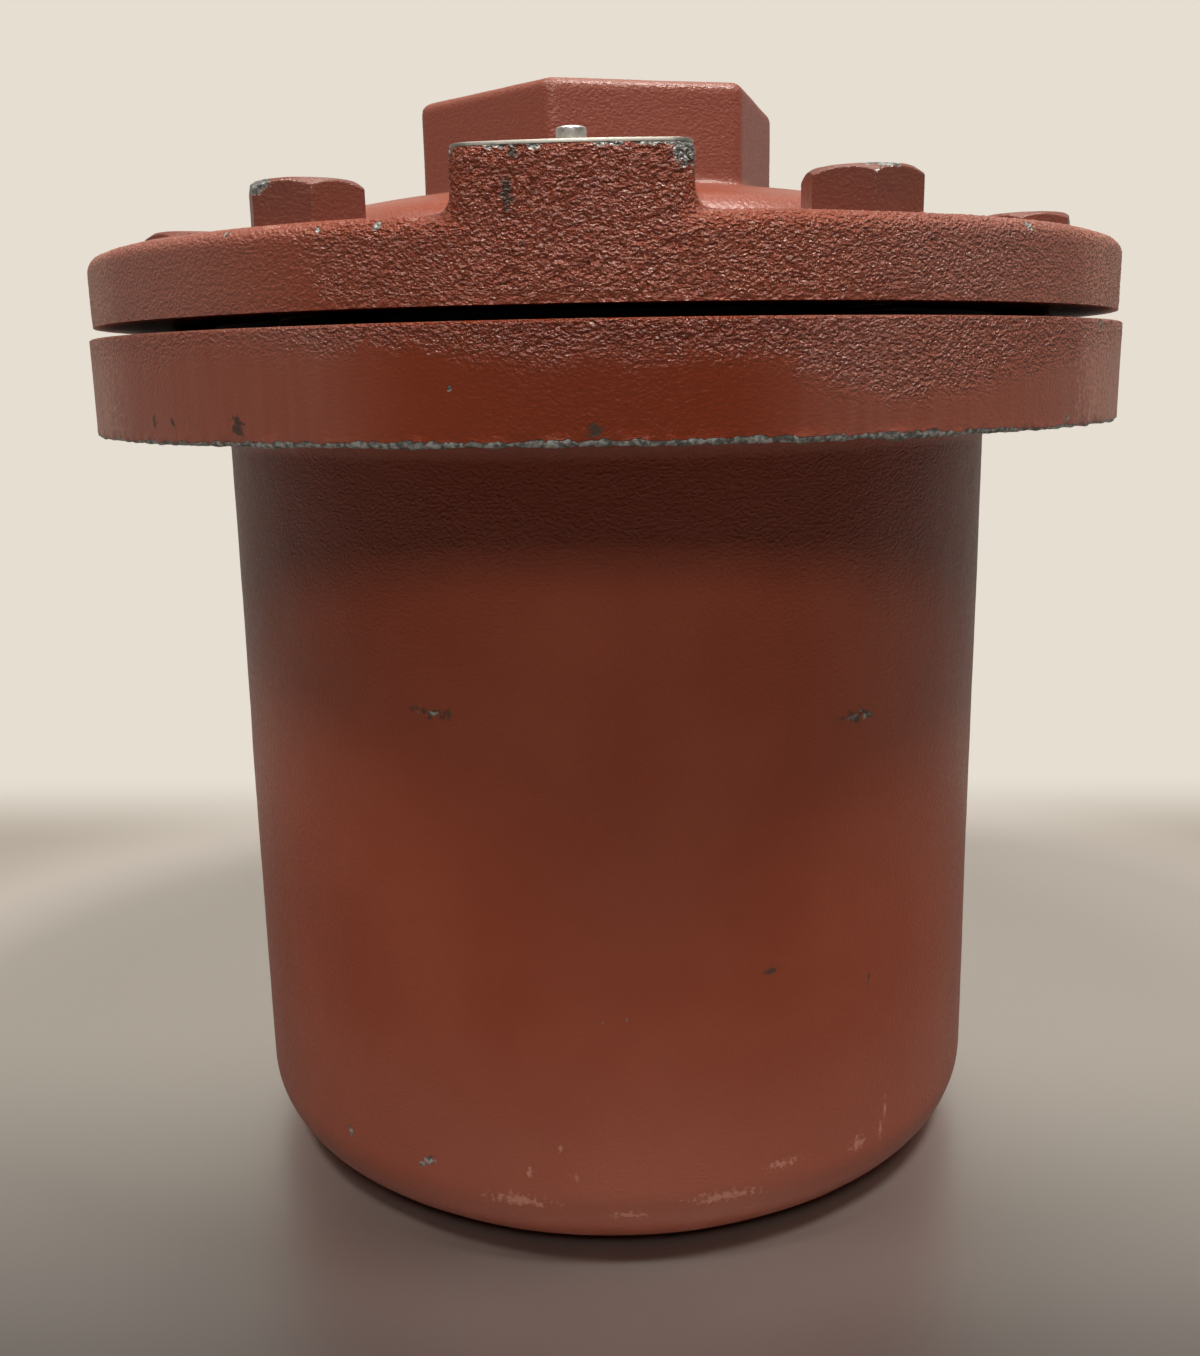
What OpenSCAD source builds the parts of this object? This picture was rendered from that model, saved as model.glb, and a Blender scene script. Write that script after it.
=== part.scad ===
// Float-operated air valve: a cast chamber with a flanged cover, a centre-guided ball float
// and a soft seat under a full-size outlet. Millimetres, base at z = 0, tag pad towards -Y.

/* [Chamber] */
// Outer diameter of the chamber wall
body_d = 173.6; // [160:0.2:190]
// Thickness of the chamber wall
body_wall = 9; // [7:0.5:12]
// Height from the base to the underside of the flange
body_h = 167.2; // [162:0.2:200]
// Outer radius of the rounded bottom corner
base_round = 17.5; // [14:0.5:26]
// Thickness of the chamber floor
floor_t = 13; // [9:0.5:18]
// Thickness of the body flange
flange_t = 19.8; // [16:0.1:26]
// Radius of the cove where the wall meets the flange
flange_cove = 4; // [2:0.5:6]
// Distance from the screw circle to the flange edge
flange_edge = 17.9; // [14:0.1:22]

/* [Pipe ports] */
// Diameter of the tapped pipe ports, as drilled for a two-inch taper thread
port_d = 56.4; // [50:0.2:58]
// Chamfer at the mouth of a port
port_chamfer = 1.5; // [0.5:0.25:2.5]
// Height of the inlet boss inside the chamber, which is the inlet thread's depth
inlet_boss_h = 26; // [20:0.5:30]
// Metal around the inlet thread
inlet_boss_wall = 19.8; // [18:0.2:24]
// Depth of the outlet thread
outlet_thread = 26; // [22:0.5:27]
// Distance across the flats of the outlet hexagon
outlet_flats = 71.5; // [66:0.1:76]
// Height of the outlet rim above the gasket face
outlet_h = 47.6; // [44:0.2:54]
// Turn of the hexagon about the valve axis, in degrees
outlet_turn = 17.4; // [0:0.1:60]
// Radius along the top edges of the hexagon
outlet_round = 2.4; // [1:0.2:4]
// How far the hexagon's corners are rounded back
outlet_corner = 0.9; // [0.4:0.1:1.6]

/* [Cover] */
// Thickness of the cover at its rim
cover_t = 14; // [11:0.2:18]
// How far the cover's edge stands back from the flange's edge
cover_inset = 0.8; // [0:0.1:2]
// Radius along the top edge of the rim
rim_round = 3; // [1:0.5:5]
// Height of the crown above the rim, on the valve axis
crown_rise = 15.4; // [13:0.1:20]
// Radius of the crown
crown_r = 326; // [270:1:390]
// Radius of the shoulder between the crown and the flat rim
shoulder_r = 8; // [5:0.5:9]
// Radius of the cove at the foot of the shoulder
shoulder_cove = 3; // [1:0.5:4]
// Wall of the crown
crown_wall = 12; // [9:0.5:14]
// Wall of the shoulder around the hollow
shoulder_wall = 7; // [6:0.5:10]
// Space between the shoulder and the corners of the screw heads
shoulder_gap = 5.4; // [4.6:0.2:8]

/* [Tag pad] */
// Width of the raised pad
pad_w = 38.6; // [30:0.2:44]
// Height of the pad above the rim, with its tag plate
pad_h = 10.2; // [7:0.2:12]
// Radius of the pad's front corners
pad_corner = 4; // [2:0.5:7]
// Radius of the cove along the pad's sides
pad_cove = 3; // [1.5:0.5:4]
// Thickness of the tag plate
tag_t = 0.6; // [0.4:0.1:1.2]
// Depth of the tag plate from the rim inwards
tag_depth = 27; // [22:0.5:32]
// Margin of bare pad beside the tag plate
tag_margin = 0.3; // [0.1:0.1:1]
// Distance of each tag screw from the plate's end
tag_screw_inset = 5.7; // [4:0.1:8]
// Diameter of a tag screw's head
tag_head_d = 4.8; // [3.5:0.1:6]
// Height of a tag screw's head
tag_head_h = 2.4; // [1.4:0.1:3]
// Chamfer round the top of a tag screw's head
tag_head_edge = 0.4; // [0.2:0.1:0.6]
// Diameter of a tag screw's shank
tag_shank_d = 2.4; // [1.6:0.1:3]
// Length of a tag screw's shank
tag_shank_l = 7; // [5:0.5:9]

/* [Cover screws] */
// Number of cover screws
screw_count = 6; // [6:2:8]
// Thread diameter of a cover screw
screw_d = 12.7; // [10:0.1:14]
// Length of a cover screw under its head
screw_l = 34; // [28:0.5:35]
// Distance across the flats of a screw head
head_flats = 19.05; // [17:0.05:21]
// Height of a screw head
head_h = 8.4; // [6:0.1:10]
// Distance from the chamber wall to the screw circle
screw_inset = 9.6; // [9:0.1:14]
// Radial clearance of a screw in its tapped hole
tap_gap = 0.05; // [0.02:0.01:0.1]
// Radial clearance of a cover screw in the cover
hole_gap = 0.8; // [0.4:0.1:1.2]

/* [Gasket] */
// Thickness of the gasket as clamped
gasket_t = 2.4; // [1.5:0.1:3.2]
// Space between the gasket and the cover screws
gasket_screw_gap = 1.6; // [0.5:0.1:3]

/* [Seat] */
// Diameter of the large orifice
orifice_d = 52; // [46:0.5:53]
// Width of the seat ring's flange
seat_flange_w = 10; // [8:0.5:12]
// Thickness of the seat ring's flange
seat_flange_t = 6; // [4:0.5:7]
// Width of the seat ring's lip
seat_lip_w = 6; // [5:0.25:7]
// Height of the seat ring's lip below the cover
seat_lip_h = 4; // [3.6:0.1:5]
// Thickness of the seat retainer
retainer_t = 3.5; // [2.5:0.1:3.6]
// Width of the cover's hub outside the seat ring
seat_hub_w = 12; // [10:0.5:15]
// Number of seat screws
seat_screw_count = 6; // [4:1:8]
// Thread diameter of a seat screw
seat_screw_d = 5; // [4:0.5:6]
// Length of a seat screw under its head
seat_screw_l = 13; // [9:0.5:15]
// Clearance of pieces that slip together
slip_gap = 0.1; // [0.05:0.05:0.2]

/* [Guide] */
// Height of the guide spider's ring
spider_ring_h = 9; // [7:0.5:10]
// Width of a spider arm
spider_arm_w = 5; // [4:0.5:7]
// Number of spider arms
spider_arms = 3; // [3:1:4]
// Height of the spider's hub
spider_hub_h = 7.7; // [6:0.1:8]
// Wall of the spider's hub around its bush
spider_hub_wall = 3; // [2:0.25:4]
// Diameter of the float's guide stems
stem_d = 8; // [6:0.5:10]
// Chamfer at the free end of a stem
stem_tip = 1; // [0.5:0.25:2]
// Radial running clearance of a stem in its bush
running_gap = 0.06; // [0.03:0.01:0.1]
// Wall of the guide bushes
bush_wall = 3; // [2:0.25:4]
// Thickness of the guide bushes' flanges
bush_flange_t = 2; // [1.5:0.25:3]

/* [Float] */
// Diameter of the ball float
float_d = 104; // [92:1:112]
// Thickness of the float's shell
float_wall = 1.2; // [0.8:0.1:2]
// Travel of the float from its bumper to the seat
float_travel = 24; // [16:0.5:26]
// Gap left between the float and the seat when closed
seat_gap = 0.3; // [0.1:0.05:0.5]
// Width of the welded seam round the float
seam_w = 4; // [2:0.5:6]
// Height of the seam above the shell
seam_h = 0.8; // [0.4:0.1:1.5]
// Diameter of the hubs at the ends of the float
float_hub_d = 18; // [15:0.5:22]
// Depth of a hub inside the shell
float_hub_depth = 6; // [4:0.5:9]
// Depth of a stem in its hub
stem_grip = 8; // [5:0.5:9]

/* [Baffle] */
// Diameter of the baffle plate over the inlet
baffle_d = 92; // [84:1:100]
// Thickness of the baffle plate
baffle_t = 4; // [3:0.5:6]
// Number of posts under the baffle
post_count = 3; // [3:1:4]
// Diameter of a baffle post
post_d = 11; // [9:0.5:14]
// Thread diameter of a baffle screw
baffle_screw_d = 6; // [5:0.5:7]
// Depth of a baffle screw in the inlet boss
baffle_screw_grip = 14; // [10:0.5:16]
// Thickness of a baffle washer
washer_t = 1.6; // [1:0.1:2.5]
// Height of the rubber bumper under the float
bumper_h = 11; // [8:0.5:14]
// Wall of the rubber bumper
bumper_wall = 6; // [4:0.5:8]
// Gap between the float at rest and its bumper
rest_gap = 0.3; // [0.2:0.05:0.5]
// Length of the lower guide bush below the baffle
bush_below = 8; // [7:0.5:12]
// Height of the nut on the lower guide bush
bush_nut_h = 6.5; // [5:0.25:6.75]
// Metal between the bush and the flats of its nut
bush_nut_wall = 3; // [2:0.25:5]
// Length of the lower stem below its bush, at rest
stem_below = 8.5; // [4:0.5:12]

/* [Hidden] */
$fn = 96;
eps = 0.5;
tiny = 0.01;

// Shares that fix the shape of the screw heads, of the height or of the thread diameter
hex_chamfer = 0.18;
hex_wide = 1.7;
hex_high = 0.65;
pan_wide = 1.8;
pan_high = 0.6;
washer_wide = 2;

// Share of the seat lip's width at which the float meets it
seat_contact = 0.6;

// Spare depth of the screw holes, and small margins inside the valve
hole_spare = 1;
orifice_relief = 1;
retainer_margin = 1;

PAINT = [0.45, 0.22, 0.17];
PAINTED_STEEL = [0.42, 0.21, 0.17];
RUBBER = [0.06, 0.06, 0.06];
STAINLESS = [0.72, 0.72, 0.7];
BRONZE = [0.65, 0.48, 0.26];
BRIGHT = [0.82, 0.8, 0.76];

// Chamber and flange
body_r = body_d / 2;
chamber_r = body_r - body_wall;
chamber_round = base_round - body_wall;
screw_circle_r = body_r + screw_inset;
flange_r = screw_circle_r + flange_edge;
flange_top = body_h + flange_t;
gasket_face = flange_top + gasket_t;
port_r = port_d / 2;
inlet_boss_r = port_r + inlet_boss_wall;

// Cover
hex_corner = 2 / sqrt(3);
head_r = head_flats / 2 * hex_corner;
cover_r = flange_r - cover_inset;
rim_top = gasket_face + cover_t;
outlet_top = gasket_face + outlet_h;
outlet_floor = outlet_top - outlet_thread;
outlet_r = outlet_flats / 2 * hex_corner;
dome_r = screw_circle_r - head_r - shoulder_gap;
crown_z = rim_top + crown_rise - crown_r;
shoulder_x = dome_r - shoulder_r;
shoulder_z = crown_z + sqrt(pow(crown_r - shoulder_r, 2) - pow(shoulder_x, 2));
crown_edge = shoulder_x * crown_r / (crown_r - shoulder_r);
foot_z = rim_top + shoulder_cove;
foot_x = shoulder_x + sqrt(pow(shoulder_r + shoulder_cove, 2) - pow(foot_z - shoulder_z, 2));
hollow_r = dome_r - shoulder_wall;
slab_l = 2 * outlet_r + eps;

// Tag pad
pad_top = rim_top + pad_h - tag_t;
pad_back_y = sqrt(pow(crown_r, 2) - pow(pad_top - crown_z, 2) - pow(pad_w / 2, 2)) - eps;
pad_corner_x = pad_w / 2 - pad_corner;
pad_corner_y = sqrt(pow(cover_r - pad_corner, 2) - pow(pad_corner_x, 2));
tag_front = cover_r - tag_margin;
tag_screw_r = [tag_front - tag_screw_inset, tag_front - tag_depth + tag_screw_inset];

// Cover screws, with the turn at which each head came to rest when tightened
screw_first = -60;
head_turns = [35, 12, 50, 5, 22, 49, 28, 41];
tap_r = screw_d / 2 + tap_gap;

// Seat and guide
orifice_r = orifice_d / 2;
seat_r = orifice_r + seat_flange_w;
seat_lip_r = orifice_r + seat_lip_w;
seat_lip_z = gasket_face - seat_lip_h;
seat_contact_r = orifice_r + seat_contact * seat_lip_w;
seat_hub_r = seat_r + seat_hub_w;
seat_screw_r = (seat_r + seat_hub_r) / 2;
seat_head_d = pan_wide * seat_screw_d;
seat_head_h = pan_high * seat_screw_d;
spider_z = gasket_face + seat_flange_t;
spider_top = spider_z + spider_ring_h;
stem_r = stem_d / 2;
bush_r = stem_r + running_gap + bush_wall;
stem_clear = 0.6;
stem_proud = 0.5;
upper_stem_top = outlet_floor - stem_clear;
upper_bush_top = upper_stem_top - stem_proud;
spider_hub_top = upper_bush_top - bush_flange_t;
spider_hub_z = spider_hub_top - spider_hub_h;
spider_hub_r = bush_r + slip_gap + spider_hub_wall;

// Float, which rests at the bottom of its travel
float_r = float_d / 2;
closed_z = seat_lip_z - sqrt(pow(float_r + seat_gap, 2) - pow(seat_contact_r, 2));
float_z = closed_z - float_travel;
float_hub_r = float_hub_d / 2;
hub_clear = 1;
upper_hub_top = spider_hub_z - hub_clear - float_travel;
lower_hub_proud = 3.5;
lower_hub_bottom = float_z - float_r - lower_hub_proud;

// Bumper, lower bush and baffle, stacked down from the float
bumper_top = lower_hub_bottom - rest_gap;
bumper_z = bumper_top - bumper_h;
baffle_top = bumper_z - bush_flange_t;
baffle_z = baffle_top - baffle_t;
bush_recess = 2;
lower_bush_top = bumper_top - bush_recess;
lower_bush_z = baffle_z - bush_below;
bumper_r = bush_r + slip_gap + bumper_wall;
lower_stem_z = lower_bush_z - stem_below;
bush_nut_flats = 2 * (bush_r + bush_nut_wall);
post_h = baffle_z - inlet_boss_h;
post_circle_r = (port_r + inlet_boss_r) / 2;
baffle_head_d = hex_wide * baffle_screw_d;
baffle_head_h = hex_high * baffle_screw_d;
washer_d = washer_wide * baffle_screw_d;

// Shared shapes

// A pipe of the given radii standing on z
module pipe(outer, inner, z, h) {
  translate([0, 0, z]) difference() {
    cylinder(r = outer, h = h);
    translate([0, 0, -eps]) cylinder(r = inner, h = h + 2 * eps);
  }
}

// Copies of the children on a circle about the valve axis
module ring_of(count, radius, first = 0) {
  for (i = [0 : count - 1])
    rotate(first + i * 360 / count) translate([radius, 0, 0]) children();
}

// A hexagonal head on z = 0, with its corners chamfered at the top by a cone
module hex_head(flats, h, turn = 0) {
  chamfer = hex_chamfer * h;
  corner = flats / 2 * hex_corner;
  land = flats / 2 - chamfer / 2;
  reach = corner + eps;
  drop = chamfer * (reach - land) / (corner - land);
  intersection() {
    rotate(turn) cylinder(r = corner, h = h, $fn = 6);
    translate([0, 0, -eps]) rotate_extrude()
      polygon([[0, 0], [reach, 0], [reach, h - drop + eps], [land, h + eps], [0, h + eps]]);
  }
}

// The outline of a quarter-round cove in the corner at the origin, towards +X and +Y
module cove(r) {
  difference() {
    translate([-tiny, -tiny]) square([r + tiny, r + tiny]);
    translate([r, r]) circle(r);
  }
}

// A rounded pan head that stands on z = 0
module pan_head(d, h) {
  ball = (pow(d / 2, 2) + pow(h, 2)) / (2 * h);
  intersection() {
    cylinder(d = d, h = h);
    translate([0, 0, h - ball]) sphere(ball);
  }
}

// A straight-sided head on z = 0 with a chamfered top edge
module drive_head(d, h, edge) {
  cylinder(d = d, h = h - edge);
  translate([0, 0, h - edge]) cylinder(d1 = d, d2 = d - 2 * edge, h = edge);
}

// Chamber

module body_outline() {
  translate([0, base_round]) square([body_r, flange_top - base_round]);
  square([body_r - base_round, base_round + tiny]);
  translate([body_r - base_round, base_round]) circle(base_round);
  translate([0, body_h]) square([flange_r, flange_t]);
  translate([body_r, body_h]) mirror([0, 1]) cove(flange_cove);
}

module chamber_outline() {
  straight_z = floor_t + chamber_round;
  difference() {
    union() {
      translate([0, straight_z]) square([chamber_r, flange_top - straight_z + eps]);
      translate([0, floor_t]) square([chamber_r - chamber_round, chamber_round + tiny]);
      translate([chamber_r - chamber_round, straight_z]) circle(chamber_round);
    }
    square([inlet_boss_r, inlet_boss_h]);
  }
}

module body() {
  color(PAINT) difference() {
    rotate_extrude() difference() {
      body_outline();
      chamber_outline();
    }
    translate([0, 0, -eps]) cylinder(r = port_r, h = inlet_boss_h + 2 * eps);
    translate([0, 0, -tiny]) cylinder(r1 = port_r + port_chamfer, r2 = port_r, h = port_chamfer);
    ring_of(screw_count, screw_circle_r, screw_first)
      translate([0, 0, body_h - eps]) cylinder(r = tap_r, h = flange_t + 2 * eps);
    ring_of(post_count, post_circle_r, 90)
      translate([0, 0, inlet_boss_h - baffle_screw_grip])
        cylinder(d = baffle_screw_d + 2 * tap_gap, h = baffle_screw_grip + eps);
  }
}

// Cover

module cover_outline() {
  translate([0, gasket_face]) square([cover_r, cover_t - rim_round]);
  translate([0, gasket_face]) square([cover_r - rim_round, cover_t]);
  translate([cover_r - rim_round, rim_top - rim_round]) circle(rim_round);
  intersection() {
    translate([0, crown_z]) circle(crown_r);
    translate([0, gasket_face]) square([crown_edge, outlet_h]);
  }
  translate([shoulder_x, shoulder_z]) circle(shoulder_r);
  shoulder_foot();
}

// The cove that leads from the shoulder to the flat rim, tangent to both
module shoulder_foot() {
  low = min(rim_top, shoulder_z) - tiny;
  difference() {
    polygon([[shoulder_x, low], [foot_x, low], [foot_x, foot_z], [shoulder_x, shoulder_z]]);
    translate([foot_x, foot_z]) circle(shoulder_cove);
  }
}

// The hollow under the crown, outside the seat hub
module cover_hollow_outline() {
  intersection() {
    translate([0, crown_z]) circle(crown_r - crown_wall);
    translate([seat_hub_r, gasket_face - eps]) square([hollow_r - seat_hub_r, outlet_h]);
  }
}

// A slab between two opposite flats of the outlet, rounded along its top edges
module outlet_slab() {
  half = outlet_flats / 2;
  h = outlet_top - rim_top;
  translate([0, slab_l / 2, rim_top]) rotate([90, 0, 0]) linear_extrude(slab_l) {
    translate([-half, 0]) square([outlet_flats, h - outlet_round]);
    translate([outlet_round - half, 0]) square([outlet_flats - 2 * outlet_round, h]);
    for (side = [-1, 1])
      translate([side * (half - outlet_round), h - outlet_round]) circle(outlet_round);
  }
}

module outlet_hexagon() {
  intersection() {
    rotate(outlet_turn + 30) outlet_slab();
    rotate(outlet_turn + 90) outlet_slab();
    rotate(outlet_turn + 150) outlet_slab();
    cylinder(r = outlet_r - outlet_corner, h = outlet_top + eps);
  }
}

// Plan of the pad: flush with the rim, its front corners rounded
module pad_plan() {
  half = pad_w / 2;
  intersection() {
    circle(cover_r);
    translate([-pad_corner_x, -cover_r]) square([2 * pad_corner_x, cover_r - pad_back_y]);
  }
  translate([-half, -pad_corner_y]) square([pad_w, pad_corner_y - pad_back_y]);
  for (side = [-1, 1])
    translate([side * pad_corner_x, -pad_corner_y]) circle(pad_corner);
}

module pad() {
  translate([0, 0, gasket_face + cover_t / 2])
    linear_extrude(pad_top - gasket_face - cover_t / 2) pad_plan();
  for (side = [0, 1])
    mirror([side, 0, 0]) translate([pad_w / 2, -pad_back_y, rim_top])
      rotate([90, 0, 0]) linear_extrude(pad_corner_y - pad_back_y) cove(pad_cove);
}

module cover() {
  color(PAINT) difference() {
    union() {
      rotate_extrude() cover_outline();
      outlet_hexagon();
      pad();
    }
    rotate_extrude() cover_hollow_outline();
    translate([0, 0, gasket_face - eps])
      cylinder(r = seat_r + slip_gap, h = spider_top - gasket_face + eps);
    translate([0, 0, gasket_face]) cylinder(r = orifice_r + orifice_relief, h = outlet_h);
    translate([0, 0, outlet_floor]) cylinder(r = port_r, h = outlet_thread + eps);
    translate([0, 0, outlet_top - port_chamfer])
      cylinder(r1 = port_r, r2 = port_r + port_chamfer + tiny, h = port_chamfer + tiny);
    ring_of(screw_count, screw_circle_r, screw_first)
      translate([0, 0, gasket_face - eps]) cylinder(d = screw_d + 2 * hole_gap, h = cover_t + 2 * eps);
    ring_of(seat_screw_count, seat_screw_r)
      translate([0, 0, gasket_face - eps])
        cylinder(d = seat_screw_d + 2 * tap_gap, h = seat_screw_l - retainer_t + hole_spare + eps);
    for (r = tag_screw_r)
      translate([0, -r, pad_top - tag_shank_l - hole_spare])
        cylinder(d = tag_shank_d + 2 * tap_gap, h = tag_shank_l + hole_spare + eps);
  }
}

module cover_gasket() {
  color(RUBBER)
    pipe(screw_circle_r - screw_d / 2 - gasket_screw_gap, chamber_r, flange_top, gasket_t);
}

module cover_screw(turn) {
  hex_head(head_flats, head_h, turn);
  translate([0, 0, -screw_l]) cylinder(d = screw_d, h = screw_l + tiny);
}

module cover_screws() {
  color(PAINTED_STEEL) for (i = [0 : screw_count - 1]) {
    place = screw_first + i * 360 / screw_count;
    rotate(place) translate([screw_circle_r, 0, rim_top]) rotate(-place) cover_screw(head_turns[i]);
  }
}

// Tag

module tag_plate() {
  half = pad_w / 2 - tag_margin;
  corner_y = pad_corner_y - tag_margin;
  color(BRIGHT) translate([0, 0, pad_top]) difference() {
    linear_extrude(tag_t) {
      intersection() {
        circle(tag_front);
        translate([-pad_corner_x, -cover_r]) square([2 * pad_corner_x, cover_r - tag_front + tag_depth]);
      }
      translate([-half, -corner_y]) square([2 * half, corner_y - tag_front + tag_depth]);
      for (side = [-1, 1])
        translate([side * pad_corner_x, -pad_corner_y]) circle(pad_corner - tag_margin);
    }
    for (r = tag_screw_r)
      translate([0, -r, -eps]) cylinder(d = tag_shank_d + 2 * slip_gap, h = tag_t + 2 * eps);
  }
}

module tag_screws() {
  color(BRIGHT) for (r = tag_screw_r) translate([0, -r, pad_top + tag_t]) {
    drive_head(tag_head_d, tag_head_h, tag_head_edge);
    translate([0, 0, -tag_shank_l]) cylinder(d = tag_shank_d, h = tag_shank_l + tiny);
  }
}

// Seat

module seat_ring() {
  color(RUBBER) difference() {
    union() {
      translate([0, 0, gasket_face]) cylinder(r = seat_r, h = seat_flange_t);
      translate([0, 0, seat_lip_z]) cylinder(r = seat_lip_r, h = seat_lip_h + tiny);
    }
    translate([0, 0, seat_lip_z - eps]) cylinder(r = orifice_r, h = seat_lip_h + seat_flange_t + 2 * eps);
    translate([0, 0, closed_z]) sphere(float_r + seat_gap);
  }
}

module seat_retainer() {
  color(STAINLESS) difference() {
    pipe(seat_hub_r - retainer_margin, seat_lip_r + slip_gap, gasket_face - retainer_t, retainer_t);
    ring_of(seat_screw_count, seat_screw_r)
      translate([0, 0, gasket_face - retainer_t - eps])
        cylinder(d = seat_screw_d + 2 * slip_gap, h = retainer_t + 2 * eps);
  }
}

module seat_screws() {
  color(STAINLESS) ring_of(seat_screw_count, seat_screw_r)
    translate([0, 0, gasket_face - retainer_t]) mirror([0, 0, 1]) {
      pan_head(seat_head_d, seat_head_h);
      translate([0, 0, -seat_screw_l]) cylinder(d = seat_screw_d, h = seat_screw_l + tiny);
    }
}

// Upper guide

module guide_spider() {
  arm_l = orifice_r + orifice_relief - bush_r;
  color(STAINLESS) difference() {
    union() {
      pipe(seat_r, orifice_r, spider_z, spider_ring_h);
      translate([0, 0, spider_hub_z]) cylinder(r = spider_hub_r, h = spider_hub_h);
      ring_of(spider_arms, bush_r + arm_l / 2, 90)
        translate([-arm_l / 2, -spider_arm_w / 2, spider_hub_z])
          cube([arm_l, spider_arm_w, spider_top - spider_hub_z]);
    }
    translate([0, 0, spider_hub_z - eps]) cylinder(r = bush_r + slip_gap, h = spider_hub_h + 2 * eps);
  }
}

module upper_guide_bush() {
  color(BRONZE) difference() {
    union() {
      translate([0, 0, spider_hub_z]) cylinder(r = bush_r, h = spider_hub_h + tiny);
      translate([0, 0, spider_hub_top]) cylinder(r = spider_hub_r, h = bush_flange_t);
    }
    translate([0, 0, spider_hub_z - eps])
      cylinder(r = stem_r + running_gap, h = spider_hub_h + bush_flange_t + 2 * eps);
  }
}

// Float

// A guide stem between two heights, with a chamfered free end
module stem(z_low, z_high, free_end_up) {
  h = z_high - z_low;
  translate([0, 0, free_end_up ? z_low : z_high]) mirror([0, 0, free_end_up ? 0 : 1]) {
    cylinder(r = stem_r, h = h - stem_tip);
    translate([0, 0, h - stem_tip]) cylinder(r1 = stem_r, r2 = stem_r - stem_tip, h = stem_tip);
  }
}

module upper_stem() {
  color(STAINLESS) stem(upper_hub_top - stem_grip, upper_stem_top, true);
}

module lower_stem() {
  color(STAINLESS) stem(lower_stem_z, lower_hub_bottom + stem_grip, false);
}

// A hub from inside the shell to its outer face, bored for a stem
module float_hub(inner_z, outer_z) {
  low = min(inner_z, outer_z);
  bore_z = outer_z > inner_z ? outer_z - stem_grip : outer_z - eps;
  color(STAINLESS) difference() {
    translate([0, 0, low]) cylinder(r = float_hub_r, h = abs(outer_z - inner_z));
    translate([0, 0, bore_z]) cylinder(r = stem_r + tap_gap, h = stem_grip + eps);
  }
}

module float_top_hub() {
  float_hub(float_z + float_r - float_hub_depth, upper_hub_top);
}

module float_bottom_hub() {
  float_hub(float_z - float_r + float_hub_depth, lower_hub_bottom);
}

// One half of the float, above the seam, with the hole for its hub
module half_shell() {
  rotate_extrude() difference() {
    intersection() {
      circle(float_r);
      translate([float_hub_r + tap_gap, 0]) square([float_r, float_r]);
    }
    circle(float_r - float_wall);
  }
}

module float_upper_shell() {
  color(STAINLESS) translate([0, 0, float_z]) half_shell();
}

module float_lower_shell() {
  color(STAINLESS) translate([0, 0, float_z]) mirror([0, 0, 1]) half_shell();
}

// The weld bead that joins the two halves, a low arc in section
module float_seam() {
  half = seam_w / 2;
  bead_r = (pow(half, 2) + pow(seam_h, 2)) / (2 * seam_h);
  color(STAINLESS) translate([0, 0, float_z]) rotate_extrude() intersection() {
    translate([float_r + seam_h - bead_r, 0]) circle(bead_r);
    translate([float_r + tiny, -half]) square([seam_h, seam_w]);
  }
}

// Bumper, lower guide and baffle

module float_bumper() {
  color(RUBBER) pipe(bumper_r, bush_r + slip_gap, bumper_z, bumper_h);
}

module lower_guide_bush() {
  color(BRONZE) difference() {
    union() {
      translate([0, 0, lower_bush_z]) cylinder(r = bush_r, h = lower_bush_top - lower_bush_z);
      translate([0, 0, baffle_top]) cylinder(r = bumper_r, h = bush_flange_t);
    }
    translate([0, 0, lower_bush_z - eps])
      cylinder(r = stem_r + running_gap, h = lower_bush_top - lower_bush_z + 2 * eps);
  }
}

module bush_nut() {
  color(BRONZE) translate([0, 0, baffle_z]) mirror([0, 0, 1]) difference() {
    hex_head(bush_nut_flats, bush_nut_h);
    translate([0, 0, -eps]) cylinder(r = bush_r + tap_gap, h = bush_nut_h + 2 * eps);
  }
}

module baffle_plate() {
  color(STAINLESS) difference() {
    pipe(baffle_d / 2, bush_r + slip_gap, baffle_z, baffle_t);
    ring_of(post_count, post_circle_r, 90)
      translate([0, 0, baffle_z - eps]) cylinder(d = baffle_screw_d + 2 * slip_gap, h = baffle_t + 2 * eps);
  }
}

module baffle_posts() {
  color(STAINLESS) ring_of(post_count, post_circle_r, 90)
    pipe(post_d / 2, baffle_screw_d / 2 + slip_gap, inlet_boss_h, post_h);
}

module baffle_washers() {
  color(STAINLESS) ring_of(post_count, post_circle_r, 90)
    pipe(washer_d / 2, baffle_screw_d / 2 + slip_gap, baffle_top, washer_t);
}

module baffle_screws() {
  shank_l = washer_t + baffle_t + post_h + baffle_screw_grip - hole_spare;
  color(STAINLESS) ring_of(post_count, post_circle_r, 90)
    translate([0, 0, baffle_top + washer_t]) {
      hex_head(baffle_head_d, baffle_head_h);
      translate([0, 0, -shank_l]) cylinder(d = baffle_screw_d, h = shank_l + tiny);
    }
}

body();
cover();
cover_gasket();
cover_screws();
tag_plate();
tag_screws();
seat_ring();
seat_retainer();
seat_screws();
guide_spider();
upper_guide_bush();
upper_stem();
float_top_hub();
float_upper_shell();
float_seam();
float_lower_shell();
float_bottom_hub();
lower_stem();
lower_guide_bush();
bush_nut();
float_bumper();
baffle_plate();
baffle_posts();
baffle_screws();
baffle_washers();
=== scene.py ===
import itertools
import math

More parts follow.
